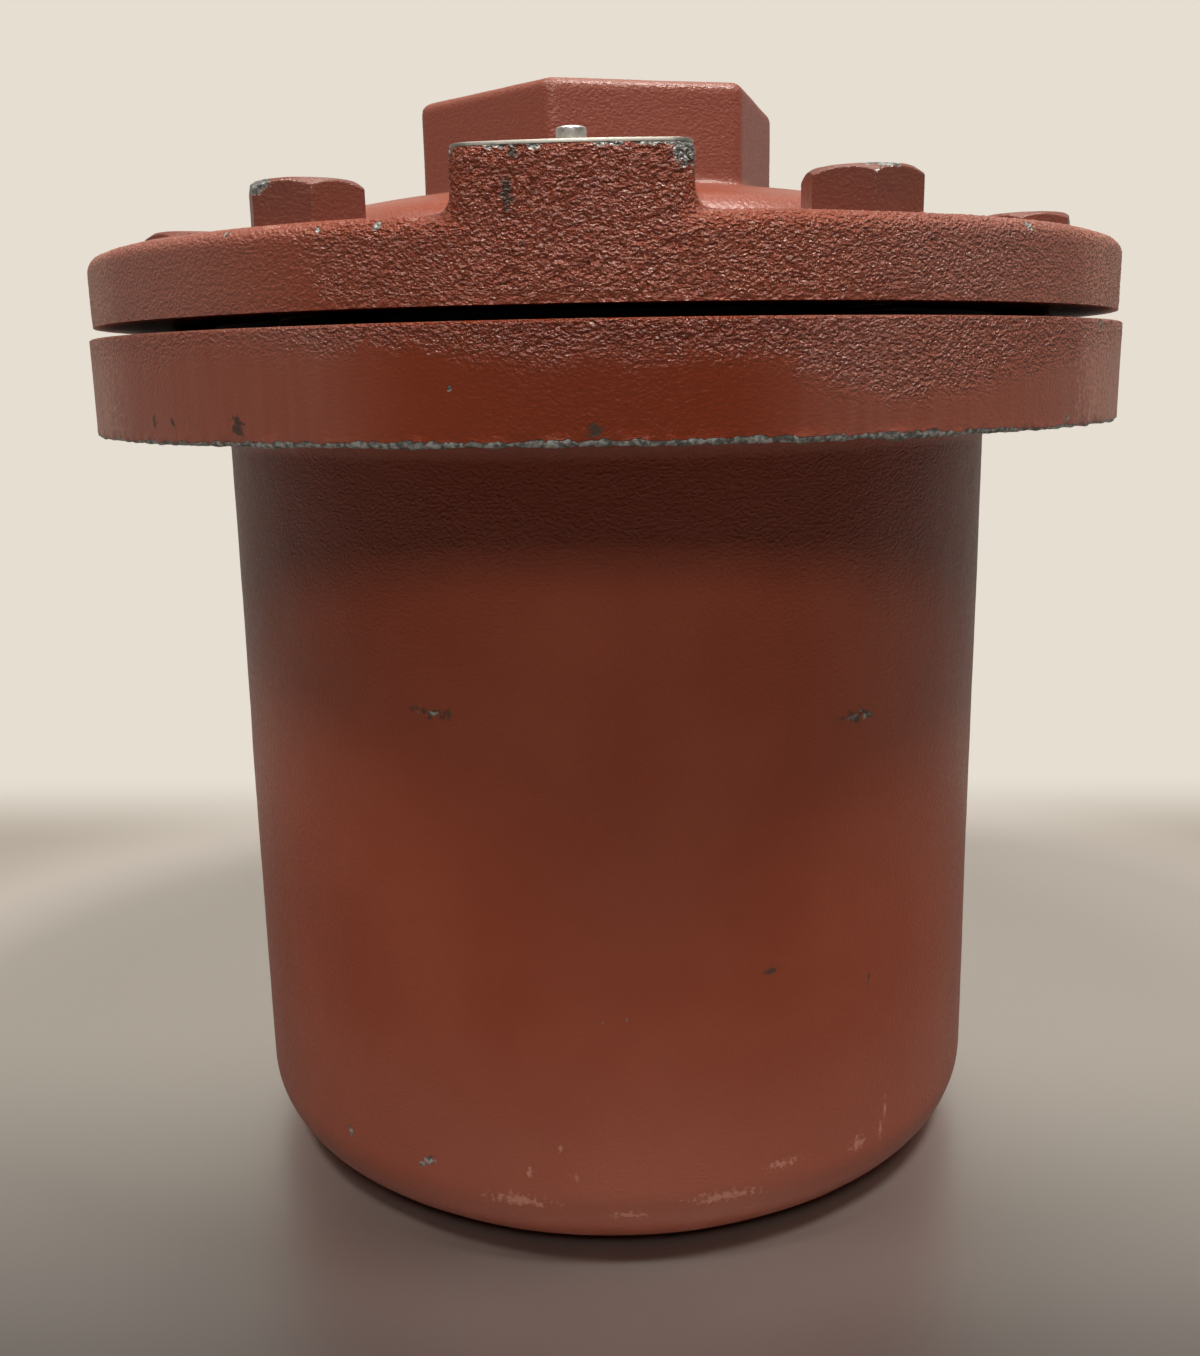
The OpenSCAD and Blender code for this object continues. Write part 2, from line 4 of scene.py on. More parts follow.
import bmesh
import bpy
import numpy as np
from mathutils import Matrix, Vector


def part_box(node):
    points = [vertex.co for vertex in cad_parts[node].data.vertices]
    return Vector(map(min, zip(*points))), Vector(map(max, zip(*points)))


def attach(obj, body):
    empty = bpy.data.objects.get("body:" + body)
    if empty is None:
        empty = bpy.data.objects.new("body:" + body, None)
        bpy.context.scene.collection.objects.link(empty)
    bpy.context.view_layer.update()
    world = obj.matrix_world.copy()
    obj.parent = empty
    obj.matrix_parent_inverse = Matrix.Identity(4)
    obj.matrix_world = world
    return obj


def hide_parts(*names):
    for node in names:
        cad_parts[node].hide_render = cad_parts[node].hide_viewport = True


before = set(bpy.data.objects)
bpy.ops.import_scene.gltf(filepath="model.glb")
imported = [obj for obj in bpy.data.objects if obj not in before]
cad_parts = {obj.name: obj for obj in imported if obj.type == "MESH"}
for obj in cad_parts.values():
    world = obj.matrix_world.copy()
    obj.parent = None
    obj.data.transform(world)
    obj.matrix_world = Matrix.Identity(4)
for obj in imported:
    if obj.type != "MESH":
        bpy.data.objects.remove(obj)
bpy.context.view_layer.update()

# Everything is worked out in millimetres and written to the meshes in metres
MM = 0.001


def node_box(name):
    """A node's lowest and highest corners, in millimetres."""
    low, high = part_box(name)
    return np.array(low) / MM, np.array(high) / MM


# Sizes that the frame gives
FLANGE_R = node_box("body")[1][0]
FLANGE_TOP = node_box("body")[1][2]
COVER_R = node_box("cover")[1][0]
GASKET_FACE = node_box("cover")[0][2]
OUTLET_TOP = node_box("cover")[1][2]
SCREW_END = node_box("cover_screws")[0][2]
HEAD_TOP = node_box("cover_screws")[1][2]
TAG_LOW, TAG_HIGH = node_box("tag_plate")
TAG_HEAD_TOP = node_box("tag_screws")[1][2]
TAG_SHANK_END = node_box("tag_screws")[0][2]
SPIDER_TOP = node_box("guide_spider")[1][2]
SEAT_R = node_box("seat_ring")[1][0]

# Sizes of the chamber
BODY_R = 86.8
CHAMBER_R = 77.8
BASE_ROUND = 17.5
CHAMBER_ROUND = 8.5
CHAMBER_FLOOR = 13.0
FLANGE_BOTTOM = 167.2
FLANGE_COVE = 4.0
BOSS_R = 48.0
BOSS_H = 26.0
PORT_R = 28.2
PORT_CHAMFER = 1.9
THREAD_DEPTH = 1.6
THREAD_PITCH = 2.209
OUTLET_THREAD = 26.0
ORIFICE_R = 27.0

# Sizes of the cover
RIM_T = 14.0
RIM_TOP = GASKET_FACE + RIM_T
RIM_ROUND = 3.0
DOME_R = 80.0
CROWN_R = 326.0
CROWN_RISE = 15.4
CROWN_Z = RIM_TOP + CROWN_RISE - CROWN_R
CROWN_WALL = 12.0
SHOULDER_R = 8.0
SHOULDER_COVE = 3.0
HOLLOW_R = 73.0
OUTLET_FLATS = 71.5
OUTLET_TURN = 17.4
OUTLET_CORNER = 1.6
OUTLET_EDGE = 2.2
PAD_HALF = 19.3
PAD_CORNER = 4.0
PAD_COVE = 3.0
PAD_BACK = 57.6
PAD_COVE_SHORT = 4.5
SEAT_SLIP = 0.1

# Sizes of the screws
SCREW_CIRCLE = 96.4
SCREW_COUNT = 6
SCREW_FIRST = -60
SCREW_ANGLES = [SCREW_FIRST + 360 // SCREW_COUNT * k for k in range(SCREW_COUNT)]
HEAD_TURNS = [35, 12, 50, 5, 22, 49]
HEAD_FLATS = 19.05
HEAD_LAND = 0.75
HEAD_DROP = 1.5
SCREW_R = 6.35
SCREW_PITCH = 1.954
SCREW_DEPTH = 0.75
SCREW_LEAD = 1.2
SCREW_PLAIN = 9.0
TAP_R = 6.42
HOLE_R = 7.15
SEAT_SCREW_CIRCLE = 42.0
SEAT_SCREW_R = 2.55
SEAT_SCREW_COUNT = 6
SEAT_TAP_DEPTH = 11.0
POST_CIRCLE = 38.1
POST_COUNT = 3
POST_FIRST = 90
POST_SCREW_R = 3.05
POST_SCREW_DEPTH = 14.0
TAG_SCREW_R = [107.5, 91.9]
TAG_HEAD_R = 2.4
TAG_SHANK_R = 1.2
TAG_TAP_GAP = 0.05
TAG_HOLE_GAP = 0.1
TAG_EDGE = 0.15
DRIVE_EDGE = 0.4

# Fineness of the skins
BODY_SEGMENTS = 1280
COVER_SEGMENTS = 512
HOLLOW_SEGMENTS = 256
MOUTH_SEGMENTS = 180
HEAD_SEGMENTS = 128
HOLE_SEGMENTS = 96
THREAD_SEGMENTS = 120
THREAD_STEPS = 12
COVER_VOXEL = 0.46
HEAD_VOXEL = 0.2

# How far cutters and joined shapes reach past what they cut or join
OVERLAP = 1.0
SPARE = 6.0

# Angles, in degrees, from which an edge is shaded as sharp
CAST_SHARP = 50
HEAD_SHARP = 60
PLATE_SHARP = 40
DRIVE_SHARP = 45


# Number helpers

def smoothstep(low, high, x):
    """0 at low, 1 at high, smooth in between."""
    t = np.clip((x - low) / (high - low), 0, 1)
    return t * t * (3 - 2 * t)


def bump(x, middle, width):
    """A smooth bump of height 1 about a middle."""
    return np.exp(-(((x - middle) / width) ** 2))


DRAWS = np.random.default_rng(11)
TABLE_SIZE = 256
GRADIENTS = DRAWS.normal(size=(TABLE_SIZE, 3))
GRADIENTS /= np.linalg.norm(GRADIENTS, axis=1)[:, None]
SHUFFLE = DRAWS.permutation(TABLE_SIZE)


def noise(points, size, seed=0):
    """Smooth gradient noise, about -1 to 1, with features of the given size in millimetres."""
    grid = points / size + seed * 17.31
    cell = np.floor(grid).astype(int)
    local = grid - cell
    fade = local ** 3 * (local * (local * 6 - 15) + 10)
    total = np.zeros(len(points))
    for corner in itertools.product((0, 1), repeat=3):
        at = (cell + corner) % TABLE_SIZE
        pick = SHUFFLE[(SHUFFLE[(SHUFFLE[at[:, 0]] + at[:, 1]) % TABLE_SIZE] + at[:, 2]) % TABLE_SIZE]
        slope = np.einsum("ij,ij->i", GRADIENTS[pick], local - corner)
        total += slope * np.prod(np.where(corner, fade, 1 - fade), axis=1)
    return total * 1.6


def angle_of(points):
    """Degrees round the valve axis, 0 at the tag pad and growing towards +X."""
    return np.degrees(np.arctan2(points[:, 0], -points[:, 1]))


def radius_of(points):
    return np.hypot(points[:, 0], points[:, 1])


# Outlines, as lists of points

def arc(centre, radius, start, end, step):
    """Points along an arc, from the start angle to the end angle in degrees."""
    count = max(3, int(abs(math.radians(end - start)) * radius / step) + 1)
    turns = np.radians(np.linspace(start, end, count))
    return [(centre[0] + radius * math.cos(t), centre[1] + radius * math.sin(t)) for t in turns]


def line(start, end, step):
    """Points along a straight line, both ends included."""
    count = max(2, int(math.dist(start, end) / step) + 1)
    return [tuple(p) for p in np.linspace(start, end, count)]


def joined(*stretches):
    """One outline out of several stretches, without doubled points."""
    points = []
    for stretch in stretches:
        points += [p for p in stretch if not points or math.dist(p, points[-1]) > 1e-6]
    return points


# Mesh helpers

def make_object(name, points, faces):
    mesh = bpy.data.meshes.new(name)
    mesh.from_pydata(np.asarray(points) * MM, [], faces)
    mesh.validate()
    made = bpy.data.objects.new(name, mesh)
    bpy.context.scene.collection.objects.link(made)
    return made


def points_of(piece):
    values = np.empty(len(piece.data.vertices) * 3, np.float32)
    piece.data.vertices.foreach_get("co", values)
    return values.reshape(-1, 3).astype(float) / MM


def normals_of(piece):
    values = np.empty(len(piece.data.vertices) * 3, np.float32)
    piece.data.vertex_normals.foreach_get("vector", values)
    return values.reshape(-1, 3).astype(float)


def move_points(piece, points):
    piece.data.vertices.foreach_set("co", (points * MM).astype(np.float32).ravel())
    piece.data.update()


def keep_modifiers(piece):
    """Turns the modifiers' result into the piece's own mesh."""
    graph = bpy.context.evaluated_depsgraph_get()
    mesh = bpy.data.meshes.new_from_object(piece.evaluated_get(graph))
    piece.modifiers.clear()
    old = piece.data
    piece.data = mesh
    bpy.data.meshes.remove(old)
    mesh.name = piece.name


def combine(piece, tool, operation):
    """Adds, cuts or intersects with another closed mesh, which is used up."""
    step = piece.modifiers.new("combine", "BOOLEAN")
    step.operation = operation
    step.solver = "MANIFOLD"
    step.object = tool
    keep_modifiers(piece)
    bpy.data.objects.remove(tool)


def voxel_skin(piece, size):
    """Rebuilds the surface as one even skin."""
    step = piece.modifiers.new("skin", "REMESH")
    step.mode = "VOXEL"
    step.voxel_size = size * MM
    keep_modifiers(piece)


def neighbour_offsets(piece):
    """Each point's offset to the mean of its neighbours, along its normal, in millimetres."""
    ends = np.empty(len(piece.data.edges) * 2, np.int32)
    piece.data.edges.foreach_get("vertices", ends)
    ends = np.concatenate([ends.reshape(-1, 2), ends.reshape(-1, 2)[:, ::-1]])
    points = points_of(piece)
    count = np.bincount(ends[:, 0], minlength=len(points))
    mean = np.empty_like(points)
    for axis in range(3):
        mean[:, axis] = np.bincount(ends[:, 0], points[ends[:, 1], axis], len(points))
    mean /= np.maximum(count, 1)[:, None]
    return np.einsum("ij,ij->i", mean - points, normals_of(piece))


def relax(piece, rounds, hollow_rate, ridge_rate):
    """Fills hollow corners and wears ridges, each at its own rate."""
    for _ in range(rounds):
        offset = neighbour_offsets(piece)
        amount = np.where(offset > 0, offset * hollow_rate, offset * ridge_rate)
        move_points(piece, points_of(piece) + normals_of(piece) * amount[:, None])


def set_attribute(piece, name, values):
    layer = piece.data.attributes.new(name, "FLOAT", "POINT")
    layer.data.foreach_set("value", np.clip(values, 0, 1).astype(np.float32))


def shade(piece, sharp_angle):
    """Smooth shading, broken at edges sharper than the angle in degrees."""
    piece.data.polygons.foreach_set("use_smooth", [True] * len(piece.data.polygons))
    piece.data.set_sharp_from_angle(angle=math.radians(sharp_angle))


# Solids

def revolve(name, outline, segments):
    """A closed solid of revolution. The outline runs up the outside, from the axis to the axis."""
    rings = np.array(outline[1:-1])
    turns = np.linspace(0, 2 * math.pi, segments, endpoint=False)
    points = np.empty((len(rings), segments, 3))
    points[..., 0] = rings[:, 0, None] * np.cos(turns)
    points[..., 1] = rings[:, 0, None] * np.sin(turns)
    points[..., 2] = rings[:, 1, None]
    return close_grid(name, points, outline[0][1], outline[-1][1])


def close_grid(name, points, low_z, high_z):
    """A closed mesh from rings of points, with a pole on the axis at each end."""
    rows, segments = points.shape[:2]
    here = np.arange(segments)
    after = (here + 1) % segments
    row = np.arange(rows - 1)[:, None] * segments
    quads = np.stack([row + here, row + after, row + segments + after, row + segments + here], -1)
    low = rows * segments
    top = (rows - 1) * segments
    foot = np.stack([np.full(segments, low), after, here], -1)
    cap = np.stack([np.full(segments, low + 1), top + here, top + after], -1)
    every = np.concatenate([points.reshape(-1, 3), [[0, 0, low_z], [0, 0, high_z]]])
    return make_object(name, every, quads.reshape(-1, 4).tolist() + foot.tolist() + cap.tolist())


def cylinder(name, radius, low, high, segments=HOLE_SEGMENTS):
    return revolve(name, [(0, low), (radius, low), (radius, high), (0, high)], segments)


def threaded(name, core, depth, pitch, low, high, end_lead=0.0, plain_above=None):
    """A closed rod with a helical thread that stands out from its core."""
    heights = np.linspace(low, high, int((high - low) / pitch * THREAD_STEPS) + 1)
    turns = np.linspace(0, 2 * math.pi, THREAD_SEGMENTS, endpoint=False)
    phase = (heights[:, None] / pitch - turns / (2 * math.pi)) % 1
    ridge = np.clip((1 - np.abs(2 * phase - 1) - 0.1) / 0.8, 0, 1)
    if plain_above is not None:
        ridge = np.maximum(ridge, smoothstep(plain_above - pitch, plain_above, heights)[:, None])
    lead = np.clip((heights - low) / end_lead, 0, 1)[:, None] if end_lead else 1.0
    radius = core - (1 - lead) * depth + ridge * depth * lead
    points = np.stack([radius * np.cos(turns), radius * np.sin(turns),
                       np.broadcast_to(heights[:, None], radius.shape)], -1)
    return close_grid(name, points, low, high)


def prism(name, plan, low, high):
    """A closed prism over a plan that runs counter-clockwise."""
    count = len(plan)
    points = [(x, y, z) for z in (low, high) for x, y in plan]
    sides = [[i, (i + 1) % count, count + (i + 1) % count, count + i] for i in range(count)]
    return make_object(name, points, sides + [list(range(count))[::-1], list(range(count, 2 * count))])


def hexagon(flats, turn):
    """Corners of a hexagon, the first at the turn angle."""
    corner = flats / math.sqrt(3)
    turns = [math.radians(turn + 60 * k) for k in range(6)]
    return [(corner * math.cos(t), corner * math.sin(t)) for t in turns]


def join(pieces, name):
    """One object out of several meshes that stay as they are."""
    whole = bmesh.new()
    for piece in pieces:
        piece.data.transform(piece.matrix_world)
        whole.from_mesh(piece.data)
    mesh = bpy.data.meshes.new(name)
    whole.to_mesh(mesh)
    whole.free()
    for piece in pieces:
        bpy.data.objects.remove(piece)
    made = bpy.data.objects.new(name, mesh)
    bpy.context.scene.collection.objects.link(made)
    return made


def shift(piece, x, y, z, turn=0.0):
    """Turns a mesh about its axis and moves it, in millimetres."""
    place = Matrix.Translation((x * MM, y * MM, z * MM)) @ Matrix.Rotation(math.radians(turn), 4, "Z")
    piece.data.transform(place)
    return piece


def ring_of_holes(name, count, circle, first, radius, low, high):
    """Cylinders on a circle about the valve axis, as one cutter."""
    holes = []
    for k in range(count):
        turn = math.radians(first + k * 360 / count)
        hole = cylinder(name, radius, low, high)
        holes.append(shift(hole, circle * math.cos(turn), circle * math.sin(turn), 0))
    return join(holes, name)


# Cast grain

PEBBLE_FLATTEN = 1.35
GRAIN_HIGH = 0.28
GRAIN_SIZE = 0.8
WALL_GRAIN_HIGH = 0.06
WALL_GRAIN_SIZE = 1.35


def pebbles(points, size):
    """The bumps of a rough sand casting, wider than they are high."""
    stretched = points * np.array([1, 1, PEBBLE_FLATTEN])
    broad = noise(stretched, size * 2.4, 1)
    middle = noise(stretched, size, 2)
    fine = noise(stretched, size * 0.7, 3)
    return 0.2 * broad + 0.65 * middle + 0.6 * fine


# Body

FLANGE_EDGE_WEAR = 0.6
FLANGE_EDGE_ROUND = 0.5
EDGE_REACH = 1.4


def body_outline():
    """The outside of the body from the axis below to the axis above."""
    base_x = BODY_R - BASE_ROUND
    cove_x = BODY_R + FLANGE_COVE
    cove_z = FLANGE_BOTTOM - FLANGE_COVE
    low = FLANGE_EDGE_WEAR
    high = FLANGE_EDGE_ROUND
    return joined(
        [(0, 0)],
        line((PORT_R - 6, 0), (base_x, 0), 2.0),
        arc((base_x, BASE_ROUND), BASE_ROUND, -90, 0, 0.9),
        line((BODY_R, BASE_ROUND), (BODY_R, cove_z), 1.0),
        arc((cove_x, cove_z), FLANGE_COVE, 180, 90, 0.6),
        line((cove_x, FLANGE_BOTTOM), (FLANGE_R - 4, FLANGE_BOTTOM), 1.0),
        line((FLANGE_R - 4, FLANGE_BOTTOM), (FLANGE_R - low, FLANGE_BOTTOM), 0.35),
        arc((FLANGE_R - low, FLANGE_BOTTOM + low), low, -90, 0, 0.2),
        line((FLANGE_R, FLANGE_BOTTOM + low), (FLANGE_R, FLANGE_TOP - high), 0.36),
        arc((FLANGE_R - high, FLANGE_TOP - high), high, 0, 90, 0.25),
        line((FLANGE_R - high, FLANGE_TOP), (CHAMBER_R - 4, FLANGE_TOP), 2.5),
        [(0, FLANGE_TOP)],
    )


def chamber_outline():
    """The hollow of the chamber above its floor and round the inlet boss."""
    round_x = CHAMBER_R - CHAMBER_ROUND
    round_z = CHAMBER_FLOOR + CHAMBER_ROUND
    return joined(
        [(0, BOSS_H), (BOSS_R, BOSS_H), (BOSS_R, CHAMBER_FLOOR), (round_x, CHAMBER_FLOOR)],
        arc((round_x, round_z), CHAMBER_ROUND, -90, 0, 1.5),
        [(CHAMBER_R, FLANGE_TOP + OVERLAP), (0, FLANGE_TOP + OVERLAP)],
    )


def flange_grain(points):
    """Where the side of the body flange kept its rough casting skin: an uneven band along its top."""
    turn = angle_of(points)
    ring = points * np.array([1, 1, 0])
    reach = 5.0 + 1.2 * noise(ring, 26, 4) + 1.6 * noise(ring, 6, 5)
    reach += 8.0 * bump(turn, 29, 11) + 2.5 * bump(turn, 48, 10) - 2.0 * bump(turn, -16, 9)
    depth = FLANGE_TOP - points[:, 2]
    side = smoothstep(FLANGE_R - 2.5, FLANGE_R - 0.8, radius_of(points))
    soft = 1 - 0.5 * smoothstep(-18, -30, turn) - 0.35 * smoothstep(40, 56, turn)
    return side * soft * smoothstep(6.0, -4.5, depth - reach + 1.6 * noise(points, 3.0, 27)) ** 1.5


def edge_distance(points):
    """Distance from the lower corner of the body flange, in the section plane."""
    return np.hypot(radius_of(points) - FLANGE_R, points[:, 2] - FLANGE_BOTTOM)


def wall_grain(points):
    """Roughness of the chamber's wall: strongest close under the flange and towards the right."""
    z = points[:, 2]
    turn = angle_of(points)
    wall = smoothstep(BODY_R + 6, BODY_R + 2, radius_of(points))
    upper = smoothstep(118, 160, z) * (0.45 + 0.55 * smoothstep(-0.1, 0.4, noise(points, 24, 6)))
    right = bump(turn, 42, 14) * smoothstep(60, 140, z)
    return wall * np.clip(0.12 + 0.55 * upper + 0.5 * right, 0, 1)


def roughen_body(piece):
    points = points_of(piece)
    z = points[:, 2]
    outside = smoothstep(0.2, 3.0, z) * smoothstep(FLANGE_TOP - 0.05, FLANGE_TOP - 0.4, z)
    wall = outside * smoothstep(FLANGE_BOTTOM + 1, FLANGE_BOTTOM - 2, z)
    wave = 0.22 * noise(points, 42, 7) + 0.09 * noise(points, 15, 8) + 0.03 * noise(points, 5, 9)
    grain = GRAIN_HIGH * flange_grain(points) * pebbles(points, GRAIN_SIZE)
    grain += WALL_GRAIN_HIGH * wall_grain(points) * pebbles(points, WALL_GRAIN_SIZE)
    amount = wall * wave + outside * grain
    turn = angle_of(points)
    near_edge = np.exp(-((edge_distance(points) / EDGE_REACH) ** 2))
    ragged = 0.3 * noise(points, 7, 10) + 0.28 * noise(points, 2.6, 11) + 0.18 * noise(points, 1.2, 12)
    ragged += 0.25 * bump(turn, 15, 22) + 0.7 * bump(turn, 27.5, 1.1)
    amount += near_edge * (ragged - 0.05)
    move_points(piece, points + normals_of(piece) * amount[:, None])


def build_body():
    piece = revolve("valve_body", body_outline(), BODY_SEGMENTS)
    roughen_body(piece)
    combine(piece, revolve("chamber", chamber_outline(), HOLLOW_SEGMENTS), "DIFFERENCE")
    port = threaded("port", PORT_R, THREAD_DEPTH, THREAD_PITCH, -OVERLAP, BOSS_H + OVERLAP)
    combine(piece, port, "DIFFERENCE")
    wide = PORT_R + PORT_CHAMFER + OVERLAP
    mouth = [(0, -OVERLAP), (wide, -OVERLAP), (PORT_R, PORT_CHAMFER), (0, PORT_CHAMFER)]
    combine(piece, revolve("mouth", mouth, MOUTH_SEGMENTS), "DIFFERENCE")
    taps = ring_of_holes("taps", SCREW_COUNT, SCREW_CIRCLE, SCREW_FIRST, TAP_R,
                         FLANGE_BOTTOM - OVERLAP, FLANGE_TOP + OVERLAP)
    combine(piece, taps, "DIFFERENCE")
    low = BOSS_H - POST_SCREW_DEPTH
    posts = ring_of_holes("post_holes", POST_COUNT, POST_CIRCLE, POST_FIRST, POST_SCREW_R,
                          low, BOSS_H + OVERLAP)
    combine(piece, posts, "DIFFERENCE")
    shade(piece, CAST_SHARP)
    return piece


# Cover

def cover_outline():
    """The outside of the cover, from below its gasket face to the top of the crown."""
    shoulder_x = DOME_R - SHOULDER_R
    shoulder_z = CROWN_Z + math.sqrt((CROWN_R - SHOULDER_R) ** 2 - shoulder_x ** 2)
    meet = math.degrees(math.atan2(shoulder_z - CROWN_Z, shoulder_x))
    foot_z = RIM_TOP + SHOULDER_COVE
    foot_x = shoulder_x + math.sqrt((SHOULDER_R + SHOULDER_COVE) ** 2 - (foot_z - shoulder_z) ** 2)
    touch = math.degrees(math.atan2(foot_z - shoulder_z, foot_x - shoulder_x))
    low = GASKET_FACE - SPARE
    return joined(
        [(0, low), (COVER_R, low)],
        line((COVER_R, GASKET_FACE), (COVER_R, RIM_TOP - RIM_ROUND), 3),
        arc((COVER_R - RIM_ROUND, RIM_TOP - RIM_ROUND), RIM_ROUND, 0, 90, 0.6),
        arc((foot_x, foot_z), SHOULDER_COVE, -90, touch - 180, 0.6),
        arc((shoulder_x, shoulder_z), SHOULDER_R, touch, meet, 0.8),
        arc((0, CROWN_Z), CROWN_R, meet, 90, 3)[:-1],
        [(0, CROWN_Z + CROWN_R)],
    )


def under_outline():
    """What is cut out of the cover from below: the hollow, the seat's recess and the orifice."""
    inner = CROWN_R - CROWN_WALL
    wide = math.degrees(math.acos(HOLLOW_R / inner))
    narrow = math.degrees(math.acos(BOSS_R / inner))
    floor = OUTLET_TOP - OUTLET_THREAD
    recess = SEAT_R + SEAT_SLIP
    below = GASKET_FACE - 2 * SPARE
    outer = FLANGE_R + SPARE
    return joined(
        [(0, below), (outer, below), (outer, GASKET_FACE)],
        [(HOLLOW_R, GASKET_FACE)],
        arc((0, CROWN_Z), inner, wide, narrow, 2),
        [(BOSS_R, GASKET_FACE), (recess, GASKET_FACE), (recess, SPIDER_TOP), (ORIFICE_R, SPIDER_TOP)],
        [(ORIFICE_R, floor + OVERLAP), (0, floor + OVERLAP)],
    )


def outlet_hexagon():
    """The wrench boss round the outlet, with rounded corners and top edges."""
    piece = prism("hexagon", hexagon(OUTLET_FLATS, OUTLET_TURN), RIM_TOP, OUTLET_TOP)
    shape = bmesh.new()
    shape.from_mesh(piece.data)
    upright = [e for e in shape.edges if abs(e.verts[0].co.z - e.verts[1].co.z) > MM]
    bmesh.ops.bevel(shape, geom=upright, offset=OUTLET_CORNER * MM, segments=4, profile=0.5, affect="EDGES")
    top = OUTLET_TOP * MM - MM / 10
    rim = [e for e in shape.edges if min(v.co.z for v in e.verts) > top]
    bmesh.ops.bevel(shape, geom=rim, offset=OUTLET_EDGE * MM, segments=5, profile=0.5, affect="EDGES")
    shape.to_mesh(piece.data)
    shape.free()
    return piece


def pad_plan(margin, back):
    """Plan of the tag pad, or of the plate on it when there is a margin, counter-clockwise."""
    centre_x = PAD_HALF - PAD_CORNER
    centre_y = math.sqrt((COVER_R - PAD_CORNER) ** 2 - centre_x ** 2)
    lean = math.degrees(math.atan2(centre_x, centre_y))
    corner = PAD_CORNER - margin
    half = PAD_HALF - margin
    return joined(
        [(-half, -back)],
        arc((-centre_x, -centre_y), corner, 180, 270 - lean, 0.5),
        arc((0, 0), COVER_R - margin, 270 - lean, 270 + lean, 0.7),
        arc((centre_x, -centre_y), corner, 270 + lean, 360, 0.5),
        [(half, -back)],
    )


def pad_coves():
    """The fillets at the foot of the pad's two sides."""
    length = COVER_R - PAD_BACK - PAD_COVE_SHORT
    curve = arc((PAD_HALF + PAD_COVE, RIM_TOP + PAD_COVE), PAD_COVE, 180, 270, 0.5)
    section = joined(curve, [(PAD_HALF + PAD_COVE, RIM_TOP - 2), (PAD_HALF - 2, RIM_TOP - 2)],
                     [(PAD_HALF - 2, RIM_TOP + PAD_COVE)])
    pieces = []
    for side in (1, -1):
        plan = [(side * x, z) for x, z in section][::side]
        piece = prism("pad_cove", plan, 0, length)
        stand = Matrix.Translation((0, -PAD_BACK * MM, 0)) @ Matrix.Rotation(math.pi / 2, 4, "X")
        piece.data.transform(stand)
        pieces.append(piece)
    return pieces


RIM_SMOOTH_TO = -29
RIM_ROUGH_FROM = -14


def cover_grain(points):
    """How rough the cover is: coarse on the pad's front and most of the rim, fine elsewhere."""
    turn = angle_of(points)
    radius = radius_of(points)
    side = smoothstep(COVER_R - 4.5, COVER_R - 1.5, radius)
    ring = points * np.array([1, 1, 0])
    front = smoothstep(RIM_SMOOTH_TO, RIM_ROUGH_FROM, turn + 6 * noise(points, 9, 13))
    fading = 1 - 0.55 * smoothstep(34, 50, turn)
    fading *= 1 - 0.5 * smoothstep(2.6, 0.8, points[:, 2] - GASKET_FACE)
    back = 0.35 + 0.5 * smoothstep(-0.2, 0.4, noise(ring, 40, 14))
    rough = np.where(np.abs(turn) < 100, front * fading, back)
    rough = rough + (back - rough) * smoothstep(80, 110, np.abs(turn))
    boss = 0.06 * smoothstep(RIM_TOP + 12, RIM_TOP + 16, points[:, 2]) * (radius < OUTLET_FLATS)
    return np.clip(0.1 + boss + side * np.clip(rough, 0.28, 1) * 0.9, 0, 1)


def roughen_cover(piece):
    points = points_of(piece)
    normal = normals_of(piece)
    z = points[:, 2]
    upward = smoothstep(0.1, 0.3, normal[:, 2])
    rim_side = smoothstep(COVER_R - 2.6, COVER_R - 1.8, radius_of(points))
    walls = smoothstep(RIM_TOP + 1, RIM_TOP + 3, z)
    outside = np.maximum(np.maximum(upward, rim_side), walls)
    seat = (z > TAG_LOW[2] - 0.6) & (points[:, 1] < -70) & (normal[:, 2] > 0.7)
    outside = np.where(seat, 0, outside)
    grain = cover_grain(points)
    wave = 0.16 * noise(points, 34, 15) + 0.07 * noise(points, 11, 16)
    low_edge = np.exp(-(((z - GASKET_FACE) / EDGE_REACH) ** 2)) * rim_side
    ragged = 0.16 * noise(points, 4, 17) + 0.12 * noise(points, 1.6, 18) - 0.1
    rough = GRAIN_HIGH * grain * pebbles(points, GRAIN_SIZE)
    amount = outside * (wave + rough) + low_edge * ragged
    move_points(piece, points + normal * amount[:, None])


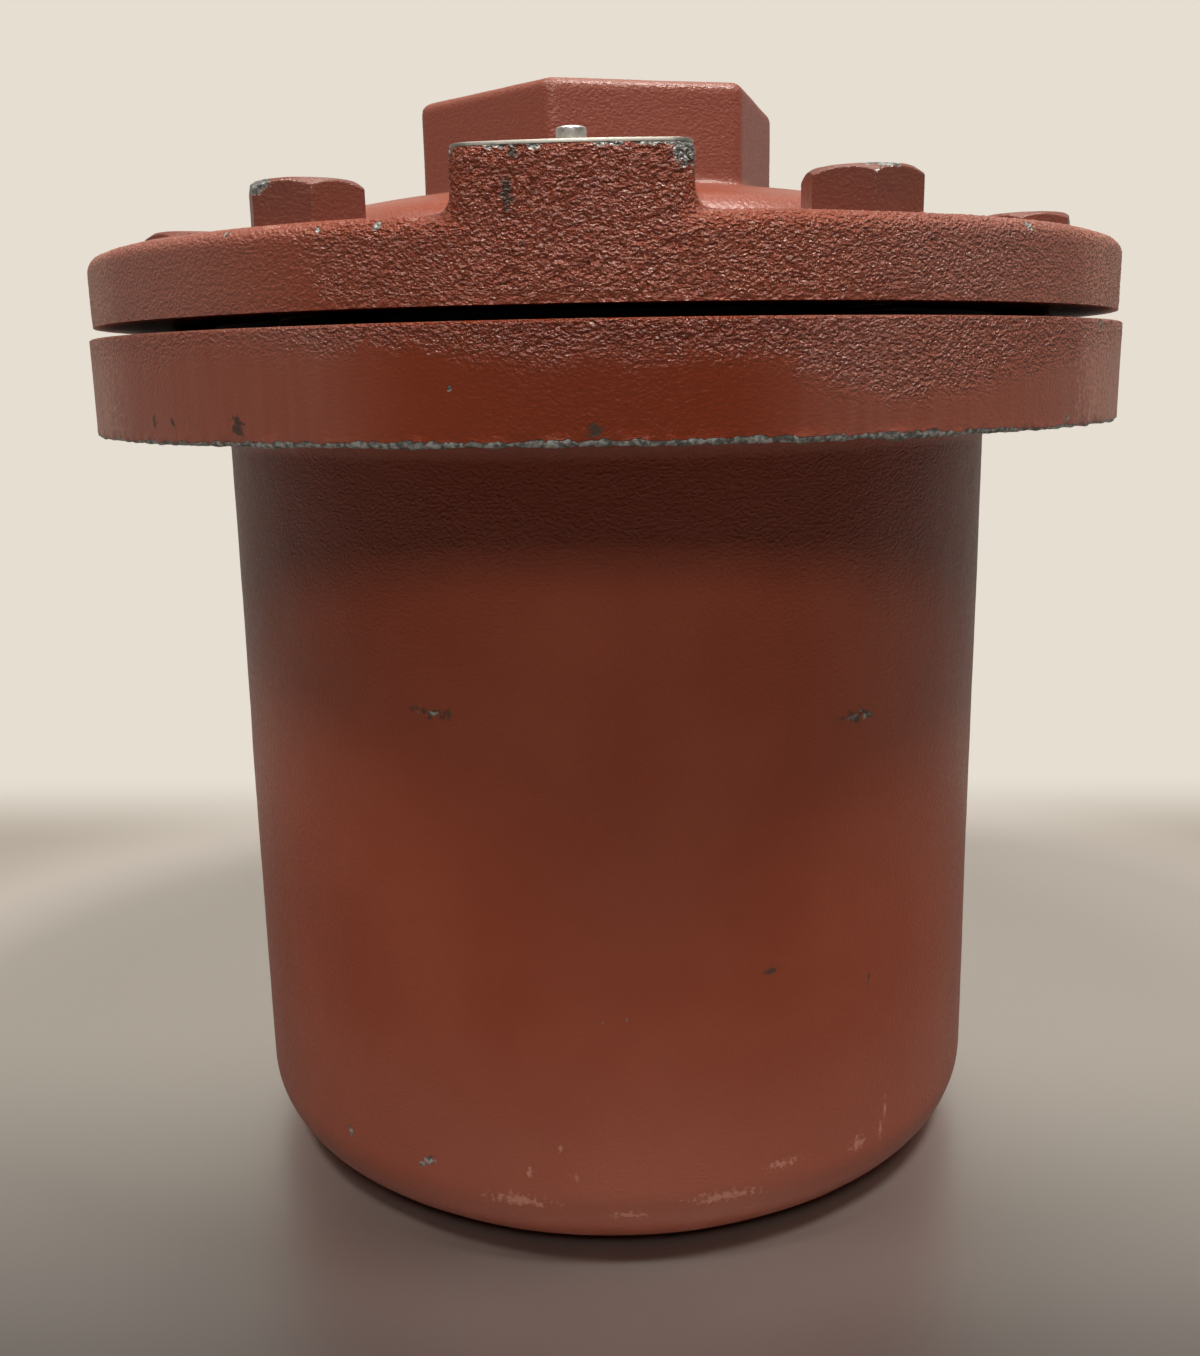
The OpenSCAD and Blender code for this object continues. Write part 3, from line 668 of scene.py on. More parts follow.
def build_cover():
    piece = revolve("valve_cover", cover_outline(), COVER_SEGMENTS)
    combine(piece, outlet_hexagon(), "UNION")
    combine(piece, prism("pad", pad_plan(0, PAD_BACK), RIM_TOP - SPARE, TAG_LOW[2]), "UNION")
    for cove in pad_coves():
        combine(piece, cove, "UNION")
    voxel_skin(piece, COVER_VOXEL)
    relax(piece, 3, 0.5, 0.5)
    relax(piece, 14, 0.6, 0.04)
    roughen_cover(piece)
    combine(piece, revolve("under", under_outline(), HOLLOW_SEGMENTS), "DIFFERENCE")
    low = OUTLET_TOP - OUTLET_THREAD
    port = threaded("port", PORT_R, THREAD_DEPTH, THREAD_PITCH, low, OUTLET_TOP + OVERLAP)
    combine(piece, port, "DIFFERENCE")
    wide = PORT_R + PORT_CHAMFER + OVERLAP
    mouth_low = OUTLET_TOP - PORT_CHAMFER
    mouth_high = OUTLET_TOP + OVERLAP
    mouth = [(0, mouth_low), (PORT_R, mouth_low), (wide, mouth_high), (0, mouth_high)]
    combine(piece, revolve("mouth", mouth, MOUTH_SEGMENTS), "DIFFERENCE")
    under = GASKET_FACE - OVERLAP
    holes = ring_of_holes("holes", SCREW_COUNT, SCREW_CIRCLE, SCREW_FIRST, HOLE_R,
                          under, RIM_TOP + SPARE / 2)
    combine(piece, holes, "DIFFERENCE")
    taps = ring_of_holes("seat_taps", SEAT_SCREW_COUNT, SEAT_SCREW_CIRCLE, 0, SEAT_SCREW_R,
                         under, GASKET_FACE + SEAT_TAP_DEPTH)
    combine(piece, taps, "DIFFERENCE")
    for circle in TAG_SCREW_R:
        hole = cylinder("tag_hole", TAG_SHANK_R + TAG_TAP_GAP,
                        TAG_SHANK_END - OVERLAP, TAG_HIGH[2] + OVERLAP)
        combine(piece, shift(hole, 0, -circle, 0), "DIFFERENCE")
    shade(piece, CAST_SHARP)
    return piece


# Screws and tag

def screw_head():
    """A hexagon head with its top corners turned off and every edge softened by paint."""
    tall = HEAD_TOP - RIM_TOP
    corner = HEAD_FLATS / math.sqrt(3)
    piece = prism("head", hexagon(HEAD_FLATS, 0), 0, tall)
    land = HEAD_FLATS / 2 - HEAD_LAND
    slope = HEAD_DROP / (corner - land)
    reach = corner + 2
    side = tall - slope * (reach - land)
    cone = [(0, -OVERLAP), (reach, -OVERLAP), (reach, side), (land, tall), (0, tall)]
    combine(piece, revolve("cone", cone, HEAD_SEGMENTS), "INTERSECT")
    voxel_skin(piece, HEAD_VOXEL)
    relax(piece, 1, 0.5, 0.5)
    return piece


def build_screws():
    head = screw_head()
    screws = []
    for angle, turn in zip(SCREW_ANGLES, HEAD_TURNS):
        screw = bpy.data.objects.new("screw", head.data.copy())
        bpy.context.scene.collection.objects.link(screw)
        shift(screw, 0, 0, RIM_TOP, turn)
        shank = threaded("shank", SCREW_R - SCREW_DEPTH, SCREW_DEPTH, SCREW_PITCH,
                         SCREW_END, RIM_TOP + OVERLAP,
                         end_lead=SCREW_LEAD, plain_above=RIM_TOP - SCREW_PLAIN)
        combine(screw, shank, "UNION")
        place = math.radians(angle)
        shift(screw, SCREW_CIRCLE * math.cos(place), SCREW_CIRCLE * math.sin(place), 0)
        screws.append(screw)
    bpy.data.objects.remove(head)
    piece = join(screws, "valve_cover_screws")
    points = points_of(piece)
    soft = 0.05 * noise(points, 3.5, 19) + 0.02 * noise(points, 1.2, 20)
    above = smoothstep(RIM_TOP + 0.2, RIM_TOP + 0.8, points[:, 2])
    move_points(piece, points + normals_of(piece) * (soft * above)[:, None])
    shade(piece, HEAD_SHARP)
    return piece


def build_tag_plate():
    back = -TAG_HIGH[1]
    margin = COVER_R + TAG_LOW[1]
    piece = prism("tag_sheet", pad_plan(margin, back), TAG_LOW[2], TAG_HIGH[2])
    shape = bmesh.new()
    shape.from_mesh(piece.data)
    level = TAG_HIGH[2] * MM - TAG_EDGE * MM / 2
    rim = [e for e in shape.edges if min(v.co.z for v in e.verts) > level]
    bmesh.ops.bevel(shape, geom=rim, offset=TAG_EDGE * MM, segments=2, profile=0.5, affect="EDGES")
    shape.to_mesh(piece.data)
    shape.free()
    for circle in TAG_SCREW_R:
        hole = cylinder("tag_hole", TAG_SHANK_R + TAG_HOLE_GAP, TAG_LOW[2] - OVERLAP, TAG_HIGH[2] + OVERLAP)
        combine(piece, shift(hole, 0, -circle, 0), "DIFFERENCE")
    shade(piece, PLATE_SHARP)
    return piece


def build_tag_screws():
    """Drive screws with plain round heads."""
    low = TAG_HIGH[2]
    edge = DRIVE_EDGE
    outline = joined(
        [(0, TAG_SHANK_END), (TAG_SHANK_R - 0.4, TAG_SHANK_END), (TAG_SHANK_R, TAG_SHANK_END + 0.8)],
        [(TAG_SHANK_R, low), (TAG_HEAD_R - 0.1, low), (TAG_HEAD_R, low + 0.1)],
        arc((TAG_HEAD_R - edge, TAG_HEAD_TOP - edge), edge, 0, 90, 0.08),
        [(0, TAG_HEAD_TOP)],
    )
    pieces = [shift(revolve("drive", outline, HOLE_SEGMENTS), 0, -circle, 0) for circle in TAG_SCREW_R]
    piece = join(pieces, "tag_drive_screws")
    shade(piece, DRIVE_SHARP)
    return piece


# Wear and painted glints, as places on the surface: degrees from the pad, height, half width, half height,
# in mm

FLANGE_SPOTS = [(-31, 170.6, 1.3, 1.3), (-43.6, 171.6, 0.7, 0.9), (-40.4, 171.5, 0.5, 0.8),
                (1.6, 169.8, 1.2, 0.9)]
FLANGE_CHIPS = [(-10, 176.7, 0.4, 0.9), (50.6, 169.0, 0.6, 0.6), (57.6, 185.4, 1.0, 1.2)]
RIM_CHIPS = [(-15.8, 201.9, 0.9, 0.6), (-21.4, 201.8, 0.6, 0.5), (-31.5, 202.4, 0.6, 0.5),
             (43.1, 201.9, 1.1, 0.8)]
PAD_SPOTS = [(-5.0, 206.0, 0.8, 2.4), (-4.5, 211.8, 0.8, 1.0)]
BODY_SCUFFS = [(-20.9, 115.8, 4.0, 0.9), (36.8, 112.0, 4.4, 1.1)]
# Painted glints: small spots of pale bare metal where highlights fall on the body
BODY_GLINTS = [(0.2, 55.0, 0.35, 0.35), (0.9, 55.0, 0.35, 0.35), (3.9, 55.3, 0.4, 0.4)]
BODY_SCRATCHES = [(23.2, 62.9, 1.3, 0.5), (39.6, 55.3, 0.5, 0.6)]
BASE_CHIPS = [(-24.1, 20.1, 1.7, 1.4), (-25.6, 18.2, 1.0, 0.8), (-39.3, 19.7, 1.0, 1.2)]
BASE_RUBS = [(44.0, 22.8, 0.5, 3.0), (43.0, 18.5, 0.5, 2.4), (38.5, 18.2, 2.2, 1.6), (25.2, 19.5, 3.6, 0.8),
             (17.0, 14.8, 7.0, 1.1), (4.0, 12.3, 3.4, 0.8), (-11.0, 14.9, 6.4, 1.2), (-9.3, 21.6, 0.5, 1.4),
             (-5.1, 27.1, 0.4, 1.3), (-3.0, 20.6, 0.4, 1.3)]


def spots(points, places):
    """1 in the middle of each place, fading to its edge."""
    radius = radius_of(points)
    turn = angle_of(points)
    total = np.zeros(len(points))
    for middle, height, half_width, half_height in places:
        across = np.radians(turn - middle) * radius / half_width
        up = (points[:, 2] - height) / half_height
        total = np.maximum(total, np.exp(-0.7 * (across ** 2 + up ** 2)))
    return total


def painted_end_sheen(points):
    """Painted sheen: pale streaks at the far left and right ends of both flanges, where they turn away from
    the camera.
    """
    turn = np.abs(angle_of(points))
    streaks = noise(points * np.array([1, 1, 0.08]), 1.6, 29)
    return (0.74 + 0.3 * streaks) * smoothstep(46, 58, turn) * smoothstep(105, 85, turn)


def wear_body(piece):
    points = points_of(piece)
    z = points[:, 2]
    outer = smoothstep(BODY_R - 5, BODY_R - 3, radius_of(points))
    turn = angle_of(points)
    uneven = 0.85 + 0.35 * noise(points, 9, 21) + 0.4 * noise(points, 2.5, 22)
    uneven += 0.25 * bump(turn, 12, 26) - 0.3 * smoothstep(24, 50, np.abs(turn))
    edge = smoothstep(1.5, 0.5, edge_distance(points) / np.maximum(uneven, 0.3))
    base = smoothstep(14, 3, z) * smoothstep(50, 70, radius_of(points))
    rubs = 0.5 * base * smoothstep(0.05, 0.5, noise(points, 8, 23))
    set_attribute(piece, "coarse", np.maximum(flange_grain(points), 0.28 * wall_grain(points)) * outer)
    # The chips also carry the painted glints, as spots of pale bare metal
    chips = np.maximum(spots(points, FLANGE_CHIPS), spots(points, BODY_GLINTS))
    chips = np.maximum(chips, 0.8 * spots(points, BASE_CHIPS))
    chips = np.maximum(chips, 0.62 * spots(points, BODY_SCUFFS))
    set_attribute(piece, "chip_and_glint", np.maximum(edge, chips * (z < FLANGE_TOP - 0.1)))
    flange = smoothstep(FLANGE_BOTTOM - 0.5, FLANGE_BOTTOM + 0.5, z) * outer
    # Painted sheen towards the flange's far ends
    pale = flange * painted_end_sheen(points)
    set_attribute(piece, "scuff_and_sheen", np.maximum(np.maximum(rubs, pale), spots(points, BASE_RUBS)))
    marks = spots(points, FLANGE_SPOTS + BODY_SCRATCHES)
    set_attribute(piece, "stain", marks + 0.6 * spots(points, BODY_SCUFFS))
    # Painted shade: the flange is a darker red across its front, on the camera's side
    set_attribute(piece, "deep", flange * bump(turn, 4, 24))
    streaks = 1 + 0.3 * noise(points * np.array([1, 1, 0.08]), 1.6, 28) * smoothstep(90, 60, np.abs(turn))
    # Painted sheen: the flange grows paler towards its sides, away from the camera
    aside = 0.54 * smoothstep(12, 25, np.abs(turn)) + 0.24 * smoothstep(45, 56, np.abs(turn))
    # Painted light: the body is paler low down, near the floor
    low = 0.3 * smoothstep(60, 18, z) * smoothstep(BODY_R - 20, BODY_R - 12, radius_of(points))
    set_attribute(piece, "dust_and_painted_light", np.maximum(low, flange * streaks * aside))


def wear_cover(piece):
    points = points_of(piece)
    normal = normals_of(piece)
    ridge = smoothstep(0.02, 0.07, -neighbour_offsets(piece))
    corner = bump(points[:, 0], PAD_HALF - 1.5, 2.6) * smoothstep(-104, -108, points[:, 1])
    corner *= smoothstep(207.5, 211.5, points[:, 2])
    pad_edge = smoothstep(1.6, 0.2, TAG_LOW[2] - points[:, 2]) * smoothstep(-104, -108, points[:, 1])
    pad_edge *= smoothstep(-0.25, 0.3, noise(points, 4, 24))
    chips = np.maximum(spots(points, RIM_CHIPS), np.maximum(corner, 0.75 * pad_edge))
    rim_line = smoothstep(RIM_TOP - 1.8, RIM_TOP - 0.6, points[:, 2])
    rim_line *= bump(radius_of(points), COVER_R - 1.2, 1.8) * smoothstep(0.1, 0.6, noise(points, 5, 25))
    set_attribute(piece, "coarse", cover_grain(points))
    boss = smoothstep(RIM_TOP + 8, RIM_TOP + 12, points[:, 2]) * (radius_of(points) < OUTLET_FLATS)
    # Painted sheen: the cover grows paler towards its sides, away from the camera
    ends = 0.85 * smoothstep(14, 40, np.abs(angle_of(points)))
    set_attribute(piece, "dust_and_painted_light", np.maximum(0.65 * boss, ends * (1 - boss)))
    set_attribute(piece, "deep", boss)
    set_attribute(piece, "chip_and_glint", np.maximum(chips, 0.3 * rim_line * ridge))
    side = smoothstep(COVER_R - 6, COVER_R - 4, radius_of(points))
    # Painted highlight along the rim's top edge, painted light on upward-facing faces, and painted sheen at
    # the far ends
    painted_rim_and_top_light = 0.5 * rim_line + 0.12 * smoothstep(0.5, 0.95, normal[:, 2])
    set_attribute(piece, "scuff_and_sheen", np.maximum(painted_rim_and_top_light, side * painted_end_sheen(points)))
    pad_marks = spots(points, PAD_SPOTS) * smoothstep(-104, -108, points[:, 1])
    set_attribute(piece, "stain", pad_marks + 0.5 * corner + 0.4 * spots(points, RIM_CHIPS))


def wear_screws(piece):
    points = points_of(piece)
    ridge = smoothstep(0.006, 0.02, -neighbour_offsets(piece))
    x, y, z = points.T
    worn = smoothstep(0.0, 0.55, noise(points, 4.5, 26)) * smoothstep(RIM_TOP + 5.5, RIM_TOP + 7.2, z)
    left = 1.6 * bump(x, -55, 2.6) * bump(z, HEAD_TOP - 0.9, 1.5) * (y < -87)
    right = bump(x, 51, 4.0) * bump(z, HEAD_TOP, 0.9) * smoothstep(-87, -90, y)
    inside = smoothstep(RIM_TOP - 2, RIM_TOP - 3, z)
    set_attribute(piece, "coarse", np.full(len(points), 0.14))
    set_attribute(piece, "deep", np.zeros(len(points)))
    set_attribute(piece, "dust_and_painted_light", np.full(len(points), 0.75))
    set_attribute(piece, "chip_and_glint", np.maximum(np.maximum(left, right), 0.75 * ridge * worn))
    set_attribute(piece, "scuff_and_sheen", 0.5 * ridge * worn)
    set_attribute(piece, "stain", inside)


# Materials

RANGE_SOCKETS = ("From Min", "From Max", "To Min", "To Max")


class Shader:
    """A material with one main shader, and short ways to add nodes to it."""

    def __init__(self, name):
        self.material = bpy.data.materials.new(name)
        self.material.use_nodes = True
        self.tree = self.material.node_tree
        self.main = self.tree.nodes["Principled BSDF"]
        self.place = self.add("ShaderNodeTexCoord").outputs["Object"]

    def add(self, kind, **settings):
        made = self.tree.nodes.new(kind)
        for name, value in settings.items():
            setattr(made, name, value)
        return made

    def feed(self, socket, value):
        """Links a socket to another, or sets its value."""
        if isinstance(value, bpy.types.NodeSocket):
            self.tree.links.new(value, socket)
        else:
            socket.default_value = value

    def attribute(self, name):
        return self.add("ShaderNodeAttribute", attribute_name=name).outputs["Fac"]

    def noise(self, size, detail=2.0, stretch=(1, 1, 1)):
        """Noise with features of about the given size in millimetres."""
        mapping = self.add("ShaderNodeMapping")
        self.feed(mapping.inputs["Vector"], self.place)
        mapping.inputs["Scale"].default_value = [s / (size * MM) for s in stretch]
        texture = self.add("ShaderNodeTexNoise")
        self.feed(texture.inputs["Vector"], mapping.outputs["Vector"])
        texture.inputs["Scale"].default_value = 1.0
        texture.inputs["Detail"].default_value = detail
        return texture.outputs["Fac"]

    def math(self, operation, first, second=0.0):
        made = self.add("ShaderNodeMath", operation=operation)
        self.feed(made.inputs[0], first)
        self.feed(made.inputs[1], second)
        return made.outputs["Value"]

    def spread(self, value, low, high, to_low=0.0, to_high=1.0):
        """Maps a value smoothly from one range to another."""
        made = self.add("ShaderNodeMapRange", interpolation_type="SMOOTHSTEP")
        self.feed(made.inputs["Value"], value)
        for name, number in zip(RANGE_SOCKETS, (low, high, to_low, to_high)):
            made.inputs[name].default_value = number
        return made.outputs["Result"]

    def mix(self, share, first, second):
        """A colour between two, by share."""
        made = self.add("ShaderNodeMix", data_type="RGBA")
        self.feed(made.inputs["Factor"], share)
        inputs = [s for s in made.inputs if s.type == "RGBA"]
        self.feed(inputs[0], first)
        self.feed(inputs[1], second)
        return [s for s in made.outputs if s.type == "RGBA"][0]

    def bump(self, height, strength, distance):
        made = self.add("ShaderNodeBump")
        self.feed(made.inputs["Strength"], strength)
        made.inputs["Distance"].default_value = distance * MM
        self.feed(made.inputs["Height"], height)
        self.feed(self.main.inputs["Normal"], made.outputs["Normal"])

    def set(self, **values):
        """Feeds the main shader's sockets, named with underscores for spaces."""
        for name, value in values.items():
            self.feed(self.main.inputs[name.replace("_", " ")], value)


# The faded colour also serves as painted sheen and painted light, the dusty colour as painted highlight,
# and the darkest red as painted shade
PAINT_FADED_AND_LIGHT = (0.34, 0.125, 0.093, 1)
PAINT_DARKER = (0.2, 0.024, 0.002, 1)
PAINT_DEEP = (0.27, 0.044, 0.014, 1)
PAINT_LIGHT = (0.3, 0.058, 0.023, 1)
PAINT_DUST_AND_HIGHLIGHT = (0.5, 0.22, 0.16, 1)
STAIN_DARK = (0.045, 0.035, 0.024, 1)
METAL_DULL = (0.11, 0.106, 0.1, 1)
METAL_PALE = (0.44, 0.44, 0.43, 1)
CASTING_GLOSS = 0.36
SCREW_GLOSS = 0.34
SCREW_TONE = 0.64
GRAIN_DEPTH = 0.68
BARE_METAL = 0.4
RUBBER_DARK = (0.012, 0.012, 0.012, 1)
RUBBER_PALE = (0.03, 0.029, 0.027, 1)


def toned(colour, tone):
    """A colour made lighter or darker."""
    return tuple(c * tone for c in colour[:3]) + (1,)


def paint(name, gloss, tone=1.0):
    """Red-oxide paint over cast iron, with wear and with painted shade, sheen, light and highlights, placed
    by the mesh's attributes and by the grain.
    """
    look = Shader(name)
    coarse = look.attribute("coarse")
    flat = (1, 1, PEBBLE_FLATTEN)
    grains = look.math("ADD", look.noise(0.46, 1.5, flat), look.noise(0.8, 0, flat))
    level = look.math("SUBTRACT", grains, 1.0)
    patch = look.spread(look.noise(28, 3), 0.3, 0.7)
    fine = look.noise(1.1, 3)
    colour = look.mix(patch, toned(PAINT_DEEP, tone), toned(PAINT_LIGHT, tone))
    # A darker red where the deep attribute is high: painted shade across the body flange's front, and the
    # upper part of the hexagon boss
    colour = look.mix(look.attribute("deep"), colour, PAINT_DARKER)
    # Paler where the paint is faded or dusty, and as painted sheen and painted light
    colour = look.mix(look.attribute("dust_and_painted_light"), colour, toned(PAINT_FADED_AND_LIGHT, tone))
    # Painted highlight: the tops of the coarse grain are tinted paler
    ridges = look.math("MULTIPLY", look.spread(level, 0.04, 0.28, 0, 0.24), coarse)
    colour = look.mix(ridges, colour, PAINT_DUST_AND_HIGHLIGHT)
    rubbing = look.spread(look.noise(0.9, 4), 0.3, 0.75, -0.45, 0.35)
    # Scuffs, and painted sheen
    scuffed_and_sheen = look.math("ADD", look.attribute("scuff_and_sheen"), rubbing)
    colour = look.mix(look.spread(scuffed_and_sheen, 0.25, 0.8, 0, 0.8), colour, PAINT_DUST_AND_HIGHLIGHT)
    blotch = look.spread(look.noise(1.3, 4), 0.3, 0.7, -0.4, 0.3)
    stained = look.math("ADD", look.attribute("stain"), blotch)
    colour = look.mix(look.spread(stained, 0.25, 0.6, 0, 0.85), colour, STAIN_DARK)
    # Chips of bare metal, and painted glints as bare-metal spots
    flaking = look.spread(look.noise(1.4, 3), 0.3, 0.7, -0.3, 0.22)
    torn_and_glint = look.math("ADD", look.attribute("chip_and_glint"), flaking)
    bare = look.spread(torn_and_glint, 0.45, 0.62)
    metal = look.mix(look.spread(look.noise(1.0, 3), 0.38, 0.66), METAL_DULL, METAL_PALE)
    colour = look.mix(bare, colour, metal)
    dull = look.spread(fine, 0.2, 0.8, gloss - 0.06, gloss + 0.08)
    dull = look.math("SUBTRACT", dull, look.math("MULTIPLY", coarse, 0.06))
    look.set(Base_Color=colour, Metallic=look.math("MULTIPLY", bare, BARE_METAL), Roughness=dull)
    look.set(Specular_IOR_Level=look.spread(coarse, 0.2, 0.9, 0.5, 0.46))
    peel = look.math("MULTIPLY", level, look.spread(coarse, 0, 1, 0.1, 1))
    height = look.math("ADD", peel, look.math("MULTIPLY", bare, -0.2))
    look.bump(height, 1.0, GRAIN_DEPTH)
    return look.material


def metal(name, colour, rough, brushed):
    """Bare metal with fine marks, drawn out along one axis where it is brushed or turned."""
    look = Shader(name)
    marks = look.noise(0.5, 4, brushed)
    cloud = look.noise(14, 3)
    dark = tuple(c * 0.82 for c in colour) + (1,)
    shade_of = look.mix(look.spread(cloud, 0.3, 0.7), dark, tuple(colour) + (1,))
    look.set(Base_Color=shade_of, Roughness=look.spread(marks, 0.3, 0.7, rough - 0.07, rough + 0.09))
    look.main.inputs["Metallic"].default_value = 1.0
    look.bump(marks, 0.12, 0.05)
    return look.material


def rubber(name):
    look = Shader(name)
    cloud = look.spread(look.noise(6, 4), 0.3, 0.7)
    look.set(Base_Color=look.mix(cloud, RUBBER_DARK, RUBBER_PALE))
    look.set(Roughness=look.spread(look.noise(0.6, 3), 0.3, 0.7, 0.55, 0.75))
    look.bump(look.noise(0.4, 3), 0.2, 0.05)
    return look.material


# Stage, camera and light

WALL_COLOUR = (0.79, 0.73, 0.64, 1)
FLOOR_COLOUR = (0.92, 0.87, 0.82, 1)
# Painted shadow on the floor just in front of the valve
FLOOR_PAINTED_SHADOW = (0.2, 0.183, 0.18, 1)
FLOOR_MATT = (0.36, 0.325, 0.285, 1)
FLOOR_DIM = (0.2, 0.178, 0.165, 1)
GLOSSY_SHARE = 0.45
FILL_SHARE = 0.3
FLOOR_BOUNCE = (0.03, 0.028, 0.026, 1)
FLOOR_NEARBY = (0.5, 0.46, 0.42, 1)
FLOOR_METAL = 0.85
FLOOR_ROUGH = 0.36

# Where the floor changes, in metres from the valve axis or along Y
FLOOR_NEAR = 0.27
FLOOR_FAR = 0.6
FLOOR_END = (0.17, 0.27)
BOUNCE_REACH = (0.14, 0.34)
# How far the painted shadow in front of the valve reaches
FRONT_REACH = (0.13, 0.3)
FRONT_DEPTH = (-0.16, 0.02)
SHINY_REACH = (0.16, 0.31)
SHINY_FRONT = (-0.18, -0.11)
FLOOR_HALF = 12.0


def build_floor():
    """A plain floor, shiny round the valve and matt beyond, with a painted shadow just in front of the
    valve, that fades into the backdrop's colour.
    """
    reach = FLOOR_HALF / MM
    corners = [(-reach, -reach, 0), (reach, -reach, 0), (reach, reach, 0), (-reach, reach, 0)]
    floor = make_object("floor", corners, [[0, 1, 2, 3]])
    look = Shader("floor_plain")
    away = look.add("ShaderNodeVectorMath", operation="LENGTH")
    look.feed(away.inputs[0], look.place)
    split = look.add("ShaderNodeSeparateXYZ")
    look.feed(split.inputs[0], look.place)
    radial = look.spread(away.outputs["Value"], FLOOR_NEAR, FLOOR_FAR)
    behind = look.spread(split.outputs["Y"], *FLOOR_END)
    far = look.math("MAXIMUM", radial, behind)
    rays = look.add("ShaderNodeLightPath")
    camera = rays.outputs["Is Camera Ray"]
    glossy = rays.outputs["Is Glossy Ray"]
    bounce = look.mix(look.spread(away.outputs["Value"], *BOUNCE_REACH), FLOOR_NEARBY, FLOOR_BOUNCE)
    hidden = look.mix(glossy, bounce, look.mix(far, FLOOR_DIM, WALL_COLOUR))
    # Painted shadow: darker close in front of the valve
    clear = look.spread(away.outputs["Value"], *FRONT_REACH)
    lit = look.math("MAXIMUM", look.spread(split.outputs["Y"], *FRONT_DEPTH), clear)
    beside = look.spread(split.outputs["Y"], *SHINY_FRONT)
    shiny = look.math("MULTIPLY", look.spread(away.outputs["Value"], *SHINY_REACH, 1, 0), beside)
    plain = look.mix(shiny, FLOOR_MATT, look.mix(lit, FLOOR_PAINTED_SHADOW, FLOOR_COLOUR))
    metal_share = look.math("MULTIPLY", look.math("MULTIPLY", camera, shiny), FLOOR_METAL)
    look.set(Base_Color=look.mix(camera, hidden, plain), Metallic=metal_share)
    look.main.inputs["Roughness"].default_value = FLOOR_ROUGH
    glow = look.add("ShaderNodeEmission")
    glow.inputs["Color"].default_value = WALL_COLOUR
    look.feed(glow.inputs["Strength"], look.spread(camera, 0, 1, GLOSSY_SHARE, 1.0))
    blend = look.add("ShaderNodeMixShader")
    look.feed(blend.inputs[0], look.math("MULTIPLY", far, look.math("MAXIMUM", camera, glossy)))
    look.feed(blend.inputs[1], look.main.outputs[0])
    look.feed(blend.inputs[2], glow.outputs[0])
    output = look.tree.nodes["Material Output"]
    look.feed(output.inputs["Surface"], blend.outputs[0])
    floor.data.materials.append(look.material)


WORLD_TURN = (-0.35, 0.75)
WORLD_LEVEL = (0.03, 0.4)


def build_world():
    """Soft surroundings: pale behind the valve and above it, dimmer on the camera's side."""
    world = bpy.data.worlds.new("surroundings")
    bpy.context.scene.world = world
    world.use_nodes = True
    tree = world.node_tree
    back = tree.nodes["Background"]
    back.inputs["Color"].default_value = WALL_COLOUR
    place = tree.nodes.new("ShaderNodeTexCoord")
    split = tree.nodes.new("ShaderNodeSeparateXYZ")
    tree.links.new(place.outputs["Generated"], split.inputs[0])
    lit = tree.nodes.new("ShaderNodeMapRange")
    lit.interpolation_type = "SMOOTHSTEP"
    for name, number in zip(RANGE_SOCKETS, WORLD_TURN + WORLD_LEVEL):
        lit.inputs[name].default_value = number
    tree.links.new(split.outputs["Y"], lit.inputs["Value"])
    rays = tree.nodes.new("ShaderNodeLightPath")
    fill = tree.nodes.new("ShaderNodeMapRange")
    tree.links.new(rays.outputs["Is Glossy Ray"], fill.inputs["Value"])
    fill.inputs["To Min"].default_value = FILL_SHARE
    level = tree.nodes.new("ShaderNodeMath")
    level.operation = "MULTIPLY"
    tree.links.new(lit.outputs["Result"], level.inputs[0])
    tree.links.new(fill.outputs["Result"], level.inputs[1])
    seen = tree.nodes.new("ShaderNodeMix")
    tree.links.new(rays.outputs["Is Camera Ray"], seen.inputs[0])
    tree.links.new(level.outputs["Value"], seen.inputs[2])
    seen.inputs[3].default_value = 1.0
    tree.links.new(seen.outputs[0], back.inputs["Strength"])


LAMP_COLOUR = (1.0, 0.95, 0.88)
LAMP_AIM = 0.14

# Name, azimuth and elevation in degrees, distance and size in metres, power in watts, shown in reflections
LAMPS = [
    ("left_lamp", -56, 61.5, 1.3, 0.2, 8.6, True),
    ("right_lamp", 60, 66, 1.3, 0.22, 13.0, True),
    ("front_lamp", 2, 38, 1.4, 0.3, 5.5, True),
    ("overhead_lamp", 180, 70, 1.2, 0.6, 2.9, True),
    ("back_lamp", 190, 28, 1.4, 0.6, 6.0, False),
]


def add_lamp(name, azimuth, elevation, distance, size, power, shine):
    """A soft square lamp that faces the valve. The azimuth is 0 on the camera's side, growing to +X."""
    data = bpy.data.lights.new(name, "AREA")
    data.size = size
    data.energy = power
    data.color = LAMP_COLOUR
    lamp = bpy.data.objects.new(name, data)
    lamp.visible_glossy = shine
    bpy.context.scene.collection.objects.link(lamp)
    turn = Matrix.Rotation(math.radians(azimuth), 4, "Z")
    tilt = Matrix.Rotation(math.radians(90 - elevation), 4, "X")
    centre = Matrix.Translation((0, 0, LAMP_AIM))
    lamp.matrix_world = centre @ turn @ tilt @ Matrix.Translation((0, 0, distance))


# Camera, in millimetres and degrees
CAMERA_AWAY = 337.39
CAMERA_HEIGHT = 179.05
CAMERA_AZIMUTH = 2.504
CAMERA_AIM = 0.429
CAMERA_PITCH = 12.461
CAMERA_ROLL = -1.022
CAMERA_LENS = 36.976


